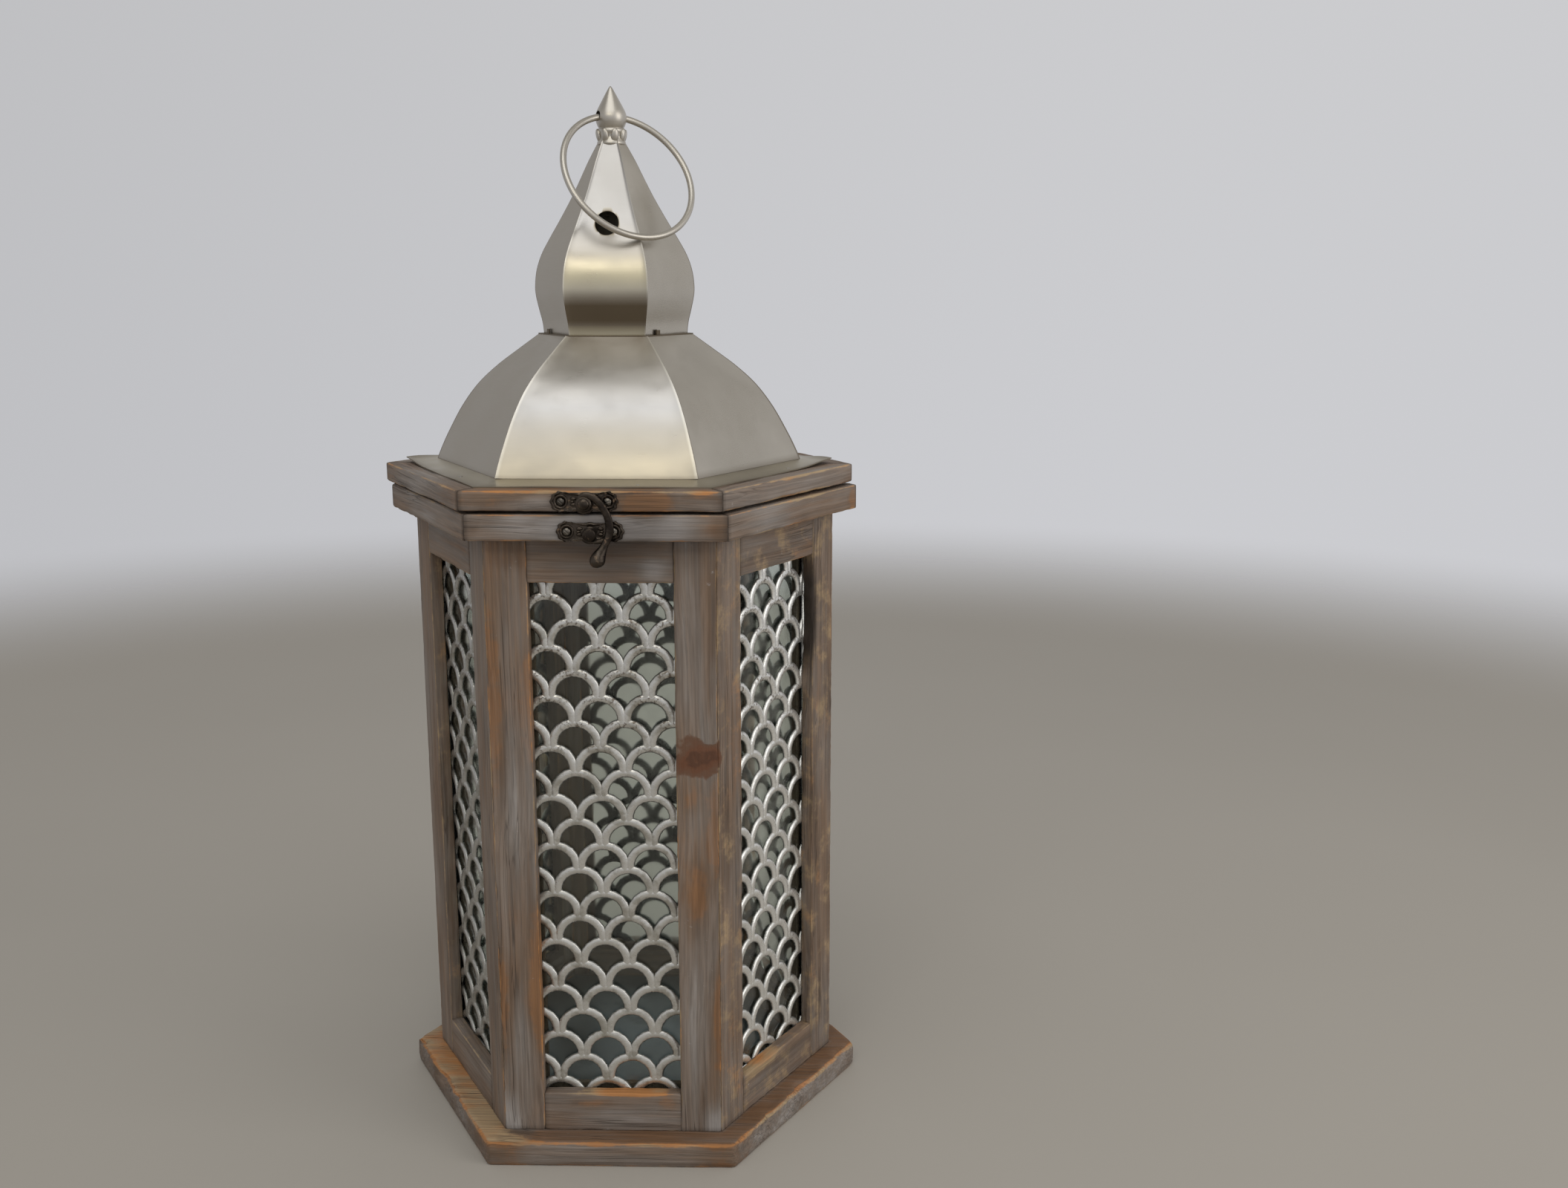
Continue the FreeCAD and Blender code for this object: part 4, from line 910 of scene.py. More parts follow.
@dataclass
class Workshop:
    """What every sub-assembly needs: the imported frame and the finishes."""

    frame: dict
    finishes: Finishes

    def dress(self, piece: Object, material: Material, body: Body,
              slot: str, *nodes: str) -> Object:
        """Give a piece its finish, its body and the nodes that it stands for.

        Args:
            piece: the finished mesh object.
            material: its material.
            body: the body that it rides on.
            slot: the record's material slot; not used.
            nodes: the frame's nodes that it replaces.

        Returns:
            The same piece.
        """
        piece.data.materials.clear()
        piece.data.materials.append(material)
        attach(piece, body.value)
        if nodes:
            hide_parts(*nodes)
        LOG.info("%s: %d points, rides on %s", piece.name, len(piece.data.vertices), body.value)
        return piece

    def carry(self, material: Material, *nodes: str) -> None:
        """Keep the frame's own shape for nodes and give them a finish."""
        for node in nodes:
            piece = self.frame["nodes"][node]
            for slot in piece.material_slots:
                slot.link = "OBJECT"
                slot.material = material
            LOG.info("%s: kept from the frame", node)


# -------- boards

@dataclass
class Board:
    """One sawn board: an outline swept along its length, with rounded and worn arrises.

    The outline is drawn in two directions, the second of them out from the lantern's axis. An
    upright board runs up, with the first direction across its side; a lying one runs across.
    """

    face: Face
    outline: Sequence[Pair]
    ends: Callable[[float, float], Pair]
    seed: int
    upright: bool = False
    mirrored: bool = False
    shift: float = 0.0
    rounding: float = 0.9
    wear_depth: float = 0.7
    step: float = 4.0
    tone: Tone = field(default_factory=Tone)
    joint: float = 0.45
    blots: Sequence[Blot] = ()

    def _drawn(self, first: float, along: float) -> Pair:
        """Return how far across its side and how high a place on the board is."""
        if self.upright:
            return (-first if self.mirrored else first), along
        return along, first

    def _section(self) -> list[Triple]:
        """Return the outline with rounded corners: two places and the closeness of an arris."""
        points: list[Triple] = []
        count = len(self.outline)
        near, spacing = 2.6, 5.0
        for index in range(count):
            before = Vector(self.outline[index - 1])
            here = Vector(self.outline[index])
            after = Vector(self.outline[(index + 1) % count])
            back, ahead = (before - here), (after - here)
            inset = min(self.rounding, back.length * 0.3, ahead.length * 0.3)
            way = ahead.normalized()
            start, end = here + back.normalized() * inset, here + way * inset
            middle = (start + end) * 0.25 + here * 0.5
            points += [(*start, 0.75), (*middle, 1.0), (*end, 0.75)]
            if ahead.length > 4 * near:
                plain = ahead.length - 2 * near
                spans = max(1, round(plain / spacing))
                marks = [(near, 0.25), *((near + plain * part / spans, 0.0) for part in range(1, spans)),
                         (ahead.length - near, 0.25)]
                points += [(*(here + way * mark), wear) for mark, wear in marks]
        return points

    def _finish(self, across: float, up: float, wear: float, end: float) -> tuple[Tone, float]:
        """Return the finish of one spot and how much wood is gone from it.

        Args:
            across: how far across its side the spot is.
            up: its height.
            wear: the closeness of an arris.
            end: the closeness of the board's end.

        Returns:
            The finish, and the depth of what is broken away.
        """
        tone = Tone(max(wear, self.tone.wear), self.tone.wash, self.tone.warm, self.joint * end)
        gone = 0.0
        for blot in self.blots:
            share = blot.reach(across, up)
            tone.wash += blot.wash * share
            tone.warm += blot.warm * share
            tone.dark += blot.dark * share
            tone.wear += blot.wear * share
            gone += blot.deep * share
        tone.dark = clamp(tone.dark)
        return tone, gone

    def sweep(self, draft: Draft) -> None:
        """Add the board to a draft."""
        section = self._section()
        centre = Vector((sum(p[0] for p in section), sum(p[1] for p in section))) / len(section)
        lows, highs = zip(*(self.ends(p[0], p[1]) for p in section))
        length = max(highs) - min(lows)
        count = max(2, round(length / self.step))
        edge = self.rounding / length
        stations = [0.0, edge] + [(index + 1) / (count + 1) for index in range(count)] + [1.0 - edge, 1.0]
        offset = Vector((self.seed * 37.1 % 311.0, self.seed * 91.7 % 457.0, self.seed * 53.3 % 977.0))
        rings: list[list[int]] = []
        for number, t in enumerate(stations):
            outermost = number in (0, len(stations) - 1)
            end = 1.0 if outermost else (0.4 if number in (1, len(stations) - 2) else 0.0)
            ring: list[int] = []
            for index, (first, out, wear) in enumerate(section):
                along = lows[index] + (highs[index] - lows[index]) * t
                flat = Vector((first, out))
                inward = (centre - flat).normalized()
                if outermost:
                    flat += inward * self.rounding * 0.6
                across, up = self._drawn(flat.x, along)
                spot = self.face.place(across, flat.y, up)
                rough = noise.noise(spot * 0.045 + offset) * 0.5 + noise.noise(spot * 0.21 + offset) * 0.5
                tone, gone = self._finish(across, up, wear * (1.0 - 0.7 * end), end)
                bite = max(0.0, rough + 0.12) * self.wear_depth * (wear ** 3) * 2.2
                if gone:
                    bite += gone * max(0.0, 0.6 + noise.noise(spot * 0.16) + noise.noise(spot * 0.5) * 0.6)
                flat += inward * bite
                across, up = self._drawn(flat.x, along)
                spot = self.face.place(across, flat.y, up, self.shift)
                ring.append(draft.add(spot, tone, Vector((first, out, along)) + offset))
            rings.append(ring)
        draft.stack(rings)


@dataclass
class WoodenBody:
    """The posts, rails, rim, base board and the lid's frame.

    Hues hold the finish of each side that is seen, hidden that of the others, and blots the soft
    spots of each side.
    """

    side: float = 150.0
    wall: float = 18.0
    stile: float = 28.0
    rabbet: float = 5.0
    lip: float = 9.0
    base_side: float = 169.0
    base_top: float = 17.5
    base_middle: float = 9.0
    base_rounding: float = 5.0
    window: Pair = (45.5, 403.5)
    wall_top: float = 433.0
    rim_side: float = 167.0
    rim: Pair = (433.0, 450.0)
    lid: Pair = (452.0, 465.0)
    lid_opening: float = 109.1
    lid_shift: float = LID_SHIFT
    hues: dict[Face, Tone] = field(default_factory=lambda: {
        Face.FRONT: Tone(0.0, 0.12, 0.12), Face.FRONT_RIGHT: Tone(0.80, 0.08, -0.30),
        Face.FRONT_LEFT: Tone(0.2, 0.15, 0.0),
    })
    hidden: Tone = field(default_factory=lambda: Tone(0.3, 0.06, 0.1))
    blots: dict[Face, Sequence[Blot]] = field(default_factory=lambda: {
        Face.FRONT: (
            # the posts: brown runs, rubbed window edges and paint left at the feet
            Blot(-72, 330, 9, wash=-0.3, warm=0.7, tall=12),
            Blot(-49, 320, 9, wash=-0.25, warm=0.75, tall=7),
            Blot(-49, 130, 9, wash=-0.3, warm=0.85, tall=8), Blot(-62, 90, 8, wash=0.3, tall=6),
            Blot(-61, 260, 7, wash=0.22, tall=9), Blot(-74, 24, 15, wash=0.36, tall=2),
            Blot(-73, 115, 7, wash=-0.3, warm=0.7, tall=8), Blot(57, 95, 10, wash=0.34, tall=7),
            Blot(56, 350, 11, wash=0.16, tall=5), Blot(72, 235, 9, wash=-0.3, warm=0.75, tall=6),
            Blot(58, 262, 9, wash=-0.3, warm=0.6, tall=2), Blot(60, 190, 10, wash=-0.15, warm=0.6, tall=4),
            Blot(74, 100, 6, wash=-0.35, warm=0.85, dark=0.12, tall=9),
            Blot(72, 22, 14, wash=0.45, tall=1.6), Blot(74, 388, 5, wash=-0.3, dark=0.35, tall=10),
            Blot(-60, 425, 16, dark=0.15, warm=0.2, wash=-0.2),
            # the rails: painted shadow on the top one under the rim, a bright rubbed lip under the window
            Blot(8, 430, 36, dark=0.66, wash=-0.06, long=2), Blot(34, 412, 12, wash=0.35),
            Blot(10, 46, 14, warm=1, wear=0.9, wash=-0.4, long=2.4, tall=0.35),
            Blot(-5, 25, 14, wash=0.26, long=2.6, tall=0.8),
            Blot(-14, 38, 12, warm=0.55, wash=-0.25, long=1.6, tall=0.5),
            Blot(38, 39, 10, warm=0.6, wash=-0.3),
            # rim and lid: rubbed top arris, stained mitres, paint round the latch
            Blot(-20, 465, 10, wear=0.7, warm=0.5, wash=-0.3, long=6, tall=0.35),
            Blot(70, 463, 8, wear=0.5, warm=0.5, wash=-0.4, long=1.6, tall=0.5),
            Blot(34, 457, 14, warm=0.85, wash=-0.35, dark=0.12, long=1.7),
            Blot(-62, 458, 14, warm=0.45, wash=-0.1, long=1.6),
            Blot(-2, 441, 16, wash=1, warm=-0.2, long=2.5),
            Blot(-46, 441, 16, wash=0.34, warm=-0.1, long=1.6),
            Blot(44, 441, 16, wash=0.6, warm=-0.2, long=2), Blot(-30, 458, 9, wash=0.35, long=2),
            Blot(80, 441, 11, dark=0.3, wash=-0.2), Blot(-81, 441, 9, dark=0.25, wash=-0.2),
            Blot(82, 458, 8, dark=0.3, warm=0.3), Blot(-82, 458, 8, dark=0.2, warm=0.3),
        ),
        Face.FRONT_RIGHT: (
            Blot(-30, 441, 24, wash=0.26, long=1.8), Blot(10, 458, 22, wear=0.4, warm=-0.2, long=2.4),
            Blot(78, 441, 10, warm=0.8, wear=0.5, wash=-0.3),
            # the window's broken edge with bark in it, its rubbed lower lip
            Blot(46.5, 360, 6, dark=1.6, wash=-0.5, tall=8, deep=3.5),
            Blot(-20, 45, 13, warm=1, wear=0.9, wash=-0.3, long=2, tall=0.4),
            Blot(5, 36, 16, dark=0.28, warm=0.3, long=3.5, tall=0.5),
            Blot(-60, 300, 14, warm=0.45, wash=-0.2, tall=6),
            Blot(-58, 120, 10, warm=0.45, wash=-0.2, tall=6),
        ),
        Face.FRONT_LEFT: (Blot(0, 450, 40, wash=0.25, long=2),),
    })

    @property
    def depth(self) -> float:
        """Distance of the walls' outer faces from the axis."""
        return self.side * COS30

    @property
    def half_window(self) -> float:
        """Half the width of a window opening."""
        return self.side / 2 - self.stile

    def build(self, shop: Workshop) -> None:
        """Build and dress every wooden piece."""
        self._posts(shop)
        self._rails(shop)
        self._ring(shop, "rim_boards", Body.BODY, "body_rim", self.rim, self.depth - self.wall, 0.0, 300)
        self._ring(shop, "lid_boards", Body.LID, "lid_frame", self.lid, self.lid_opening,
                   self.lid_shift, 400)
        self._base(shop)

    def _posts(self, shop: Workshop) -> None:
        """Six posts, each of two stiles that meet in a mitre."""
        inner = self.depth - self.wall
        lip = self.depth - self.lip
        rebate = self.half_window + self.rabbet
        outline = [
            (self.half_window, self.depth), (self.side / 2, self.depth), (inner * TAN30, inner),
            (rebate, inner), (rebate, lip), (self.half_window, lip),
        ]
        for corner in Corner:
            draft = Draft()
            for side, mirrored in ((corner.value, False), ((corner.value + 1) % SIDES, True)):
                face = Face(side)
                Board(
                    face, outline, lambda x, y: (self.base_top, self.wall_top),
                    seed=10 * corner.value + (2 if mirrored else 1), upright=True, mirrored=mirrored,
                    tone=self.hues.get(face, self.hidden), blots=self.blots.get(face, ()),
                ).sweep(draft)
            shop.dress(draft.make(f"post_{corner.label}_boards"), shop.finishes.wood, Body.BODY,
                       "weathered_wood", f"post_{corner.label}")

    def _rails(self, shop: Workshop) -> None:
        """The rails over and under each window."""
        inner = self.depth - self.wall
        lip = self.depth - self.lip
        low, high = self.window
        outlines = {
            "top_rails": [
                (high, self.depth), (self.wall_top, self.depth), (self.wall_top, inner),
                (high + self.rabbet, inner), (high + self.rabbet, lip), (high, lip),
            ],
            "bottom_rails": [
                (low, self.depth), (low, lip), (low - self.rabbet, lip), (low - self.rabbet, inner),
                (self.base_top, inner), (self.base_top, self.depth),
            ],
        }
        for number, (node, outline) in enumerate(outlines.items()):
            draft = Draft()
            for face in Face:
                Board(
                    face, outline, lambda z, out: (-self._reach(out), self._reach(out)),
                    seed=100 + 10 * number + face.value,
                    tone=self.hues.get(face, self.hidden), blots=self.blots.get(face, ()),
                ).sweep(draft)
            shop.dress(draft.make(f"{node}_boards"), shop.finishes.wood, Body.BODY, "weathered_wood", node)

    def _reach(self, out: float) -> float:
        """Return half a rail's length at a distance from the axis; its tongues are longer."""
        on_lip = out > self.depth - self.lip - 0.1
        return self.half_window if on_lip else self.half_window + self.rabbet

    def _ring(self, shop: Workshop, name: str, body: Body, node: str, levels: Pair,
              inner: float, shift: float, seed: int) -> None:
        """Six mitred boards that lie round the lantern.

        Args:
            shop: the frame and the finishes.
            name: the piece's name.
            body: the body that it rides on.
            node: the frame's node that it replaces.
            levels: heights of the boards' lower and upper faces.
            inner: distance of their inner edges from the axis.
            shift: how far the ring's axis stands to the right.
            seed: number that its grain and wear start from.
        """
        outer = self.rim_side * COS30
        low, high = levels
        draft = Draft()
        for face in Face:
            Board(
                face, [(low, outer), (high, outer), (high, inner), (low, inner)],
                lambda z, out: (-out * TAN30, out * TAN30),
                seed=seed + face.value, shift=shift, rounding=1.1, wear_depth=1.0,
                tone=Tone(0.0, 0.12, 0.15), joint=0.9, blots=self.blots.get(face, ()),
            ).sweep(draft)
        shop.dress(draft.make(name), shop.finishes.wood, body, "weathered_wood", node)

    def _base(self, shop: Workshop) -> None:
        """The base board, one piece with worn edges and rounded corners."""
        rings = [
            (70.0, 0.0, 0.0), (20.0, 0.0, 0.0), (1.6, 0.0, 0.7), (0.5, 0.5, 1.0), (0.0, 1.6, 0.7),
            (0.0, 5.0, 0.15), (0.0, 9.0, 0.0), (0.0, 12.5, 0.15), (0.0, 15.6, 0.75), (0.7, 16.8, 1.0),
            (2.0, 17.5, 0.75), (4.5, 17.5, 0.3), (9.0, 17.5, 0.1), (14.0, 17.5, 0.0), (20.0, 17.5, 0.0),
            (70.0, 17.5, 0.0),
        ]
        draft = Draft()
        rows: list[list[int]] = []
        for inset, height, wear in rings:
            row: list[int] = []
            for x, y, near_corner in self._hexagon(self.base_side - inset / COS30, self.base_rounding):
                spot = Vector((x, y, height))
                rough = noise.noise(spot * 0.05) * 0.6 + noise.noise(spot * 0.3) * 0.4
                bite = max(0.0, rough + 0.15) * (wear ** 3) * (1.2 + 3.0 * near_corner)
                chipped = clamp(abs(x) / 20.0 - 4.5) * (y < 0.0) * (height > self.base_middle)
                bite += 7.0 * chipped * max(0.0, noise.noise(spot * 0.15) + 0.08) * max(wear, 0.35)
                spot -= Vector((x, y, 0.0)).normalized() * bite
                if height > self.base_middle:
                    spot.z -= bite * 0.6
                tone = self._base_tone(x, y, height, inset, wear)
                row.append(draft.add(spot, tone, Vector((y, height, x))))
            rows.append(row)
        draft.stack(rows)
        shop.dress(draft.make("base_board_wood"), shop.finishes.wood, Body.BODY,
                   "weathered_wood", "base_board")

    def _base_tone(self, x: float, y: float, height: float, inset: float, wear: float) -> Tone:
        """Return the finish of a spot of the base board.

        Args:
            x: how far right it is.
            y: how far back it is.
            height: its height.
            inset: its distance from the board's outline.
            wear: the closeness of an arris.

        Returns:
            The finish: golden at the left and brown elsewhere on top, painted on the edges.
        """
        if height > 16.0 and inset > 1.0:
            foot = clamp((inset - 13.0) / 6.0)
            golden = clamp(-x / 40.0 - 1.0)
            return Tone(wear + 0.05 + 1.2 * golden, -0.45 + 0.85 * foot, 1.2 - 1.65 * golden,
                        0.30 * (1.0 - golden))
        right = clamp(x / 45.0 - 1.9)
        left = clamp(-x / 45.0 - 1.9)
        end = max(0.0, 1.0 - abs(abs(x) - 78.0) / 24.0) * (abs(y) > 100.0)
        rubbed = wear * (1.0 + 0.2 * (height > self.base_middle)) + 0.12 * right
        return Tone(rubbed, 0.20 + 0.14 * right - 0.12 * left - 0.3 * end,
                    0.1 + 0.45 * end + 0.35 * wear, 0.18 * end + 0.12 * left)

    @staticmethod
    def _hexagon(radius: float, rounding: float) -> list[Triple]:
        """Return a hexagon's outline with rounded corners.

        Args:
            radius: distance of its corners from the middle.
            rounding: radius of the corners' arcs.

        Returns:
            The place of each point and its closeness to a corner, from 0 to 1.
        """
        points: list[Triple] = []
        steps = 34
        cut = rounding * TAN30
        for side in range(SIDES):
            start = ray(math.tau * side / SIDES) * radius
            turn = math.tau * (side + 1) / SIDES
            end = ray(turn) * radius
            way = (end - start).normalized()
            for step in range(steps + 1):
                along = cut + (radius - 2 * cut) * step / steps
                spot = start + way * along
                gap = min(along, radius - along)
                points.append((spot.x, spot.y, max(0.0, 1.0 - gap / 12.0)))
            after = end + (ray(turn + math.tau / SIDES) * radius - end).normalized() * cut
            before = end - way * cut
            for part in (0.25, 0.5, 0.75):
                blend = before.lerp(end, part).lerp(end.lerp(after, part), part)
                points.append((blend.x, blend.y, 1.0))
        return points


# -------- windows

@dataclass
class Windows:
    """The cast grilles of overlapping scales, the panes and their beads."""

    pitch: float = 33.0
    row: float = 17.1
    outer: float = 17.9
    bar: float = 5.8
    thickness: float = 3.0
    shift: float = 12.6
    first_row: float = 395.2
    rows: int = 24
    columns: int = 6
    half_width: float = 51.7
    low: float = 40.8
    high: float = 408.2
    border: float = 3.0
    fleck_low: float = 230.0
    fleck_rise: float = 90.0
    front: float = 120.904
    # painted highlight: the right-hand grille is lighter
    painted_highlight: dict[Face, float] = field(default_factory=lambda: {Face.FRONT_RIGHT: 0.8})
    # painted shade: the left-hand grille is darker
    painted_shade: dict[Face, float] = field(default_factory=lambda: {Face.FRONT_LEFT: 0.28})
    CROWN = "crown"

    def build(self, shop: Workshop) -> None:
        """Build one grille, copy it to each side, and dress the panes and beads."""
        pattern = self._clip(self._arches(shop.finishes.grille))
        for face in Face:
            painted_highlight, painted_shade = self.painted_highlight.get(face, 0.0), self.painted_shade.get(face, 0.0)
            mesh = pattern.copy()
            tone = mesh.attributes.new(TONE, "FLOAT_COLOR", "POINT")
            crown = mesh.attributes[self.CROWN].data
            for vertex in mesh.vertices:
                across, up, out = vertex.co / MM
                fading = max(0.25, min(1.0, (up - self.fleck_low) / self.fleck_rise))
                # painted shade: the inner side turns nearly black, and the left-hand grille darker
                behind = max(painted_shade, min(1.0, 0.5 - out / self.thickness * 1.6))
                tone.data[vertex.index].color = (crown[vertex.index].value * fading, painted_highlight, 0.0, behind)
                vertex.co = face.place(across, self.front - self.thickness / 2 + out, up) * MM
            mesh.attributes.remove(mesh.attributes[self.CROWN])
            piece = finished(f"grille_{face.label}_casting", mesh)
            shop.dress(piece, shop.finishes.grille, Body.BODY, "grille_metal", f"grille_{face.label}")
            shop.carry(shop.finishes.glass, f"glass_{face.label}")
        bpy.data.meshes.remove(pattern)
        shop.carry(shop.finishes.beads, "glazing_beads")
        shop.carry(shop.finishes.plate, "candle_plate")

    def _arches(self, material: Material) -> Mesh:
        """Return the arches, which Geometry Nodes lay out in staggered rows."""
        spread = Spread("FishScaleArches", {
            "Pitch": self.pitch * MM, "Row": self.row * MM,
            "Radius": (self.outer - self.bar / 2) * MM, "Bar": self.bar * 1.1 * MM,
            "Thickness": self.thickness * MM,
            "Left": (self.shift - 3 * self.pitch) * MM, "Top": self.first_row * MM,
            "Columns": self.columns, "Rows": self.rows,
        })
        graph, given = spread.graph, spread.given
        arc = graph.out("GeometryNodeCurveArc", {
            "Resolution": 12, "Radius": given["Radius"], "Start Angle": math.radians(-7.0),
            "Sweep Angle": math.radians(194.0),
        })
        height = graph.add("ShaderNodeSeparateXYZ", {0: graph.out("GeometryNodeInputPosition")})
        crown = graph.span(graph.maths("DIVIDE", height.outputs[1], given["Radius"]), 0.45, 0.95)
        marked = graph.out("GeometryNodeStoreNamedAttribute", {
            "Geometry": arc, "Name": self.CROWN, "Value": crown,
        }, data_type="FLOAT", domain="POINT")
        upright = graph.out("GeometryNodeSetCurveNormal", {"Curve": marked}, mode="Z_UP")
        circle = graph.out("GeometryNodeCurvePrimitiveCircle", {"Resolution": 8, "Radius": 0.5})
        profile = graph.out("GeometryNodeTransform", {
            "Geometry": circle, "Scale": graph.xyz(given["Bar"], given["Thickness"], 1.0),
        })
        arch = graph.out("GeometryNodeCurveToMesh", {
            "Curve": upright, "Profile Curve": profile, "Fill Caps": True,
        })
        index = graph.out("GeometryNodeInputIndex")
        line = graph.maths("FLOOR", graph.maths("DIVIDE", index, given["Columns"]))
        column = graph.maths("FLOORED_MODULO", index, given["Columns"])
        half = graph.times(graph.maths("FLOORED_MODULO", line, 2.0), 0.5)
        across = graph.maths("MULTIPLY_ADD", graph.maths("ADD", column, half), given["Pitch"], given["Left"])
        up = graph.maths("SUBTRACT", given["Top"], graph.times(line, given["Row"]))
        points = graph.out("GeometryNodePoints", {
            "Count": graph.times(given["Columns"], given["Rows"]), "Position": graph.xyz(across, up),
        })
        copies = spread.copies(points, arch)
        lumps = graph.add("ShaderNodeTexNoise", {
            "Vector": graph.out("GeometryNodeInputPosition"), "Scale": 85.0, "Detail": 1.0,
        }).outputs[1]
        moved = graph.stretch(graph.vector("SUBTRACT", lumps, HALVES), (0.0011, 0.0011, 0.0005))
        uneven = graph.out("GeometryNodeSetPosition", {"Geometry": copies, "Offset": moved})
        return spread.mesh(uneven, material)

    def _clip(self, mesh: Mesh) -> Mesh:
        """Cut the arches off at the edges of the casting and add its thin border."""
        work = bmesh.new()
        work.from_mesh(mesh)
        inset = self.border * 0.6
        planes = [
            ((self.half_width - inset, 0, 0), (1, 0, 0)), ((inset - self.half_width, 0, 0), (-1, 0, 0)),
            ((0, self.high - inset, 0), (0, 1, 0)), ((0, self.low + inset, 0), (0, -1, 0)),
        ]
        for point, normal in planes:
            bmesh.ops.bisect_plane(
                work, geom=[*work.verts, *work.edges, *work.faces], dist=1e-7,
                plane_co=Vector(point) * MM, plane_no=normal, clear_outer=True,
            )
            rim = [edge for edge in work.edges if edge.is_boundary]
            bmesh.ops.holes_fill(work, edges=rim, sides=0)
        self._border(work)
        work.to_mesh(mesh)
        work.free()
        return mesh

    def _border(self, work: bmesh.types.BMesh) -> None:
        """Add the casting's four edge bars to a mesh in the making."""
        middle = (self.low + self.high) / 2
        tall = self.high - self.low
        bars = [
            (sign * (self.half_width - self.border / 2), middle, self.border, tall) for sign in (-1, 1)
        ] + [
            (0.0, level, 2 * (self.half_width - self.border), self.border)
            for level in (self.low + self.border / 2, self.high - self.border / 2)
        ]
        for across, up, width, height in bars:
            place = Matrix.Translation(Vector((across, up, 0.0)) * MM) @ Matrix.Diagonal(
                (width * MM, height * MM, self.thickness * MM, 1.0))
            made = bmesh.ops.create_cube(work, size=1.0, matrix=place)
            edges = {edge for vertex in made["verts"] for edge in vertex.link_edges}
            bmesh.ops.bevel(work, geom=list(edges), offset=0.5 * MM, segments=2, affect="EDGES")


# -------- roof

@dataclass(frozen=True)
class Dent:
    """A shallow dent in a panel, placed across and up."""

    across: float
    up: float
    radius: float
    depth: float

    def reach(self, across: float, up: float) -> float:
        """Return how deep the sheet is pressed in at a place."""
        gap = math.hypot(across - self.across, up - self.up) / self.radius
        return self.depth * math.exp(-gap * gap * 2.0)


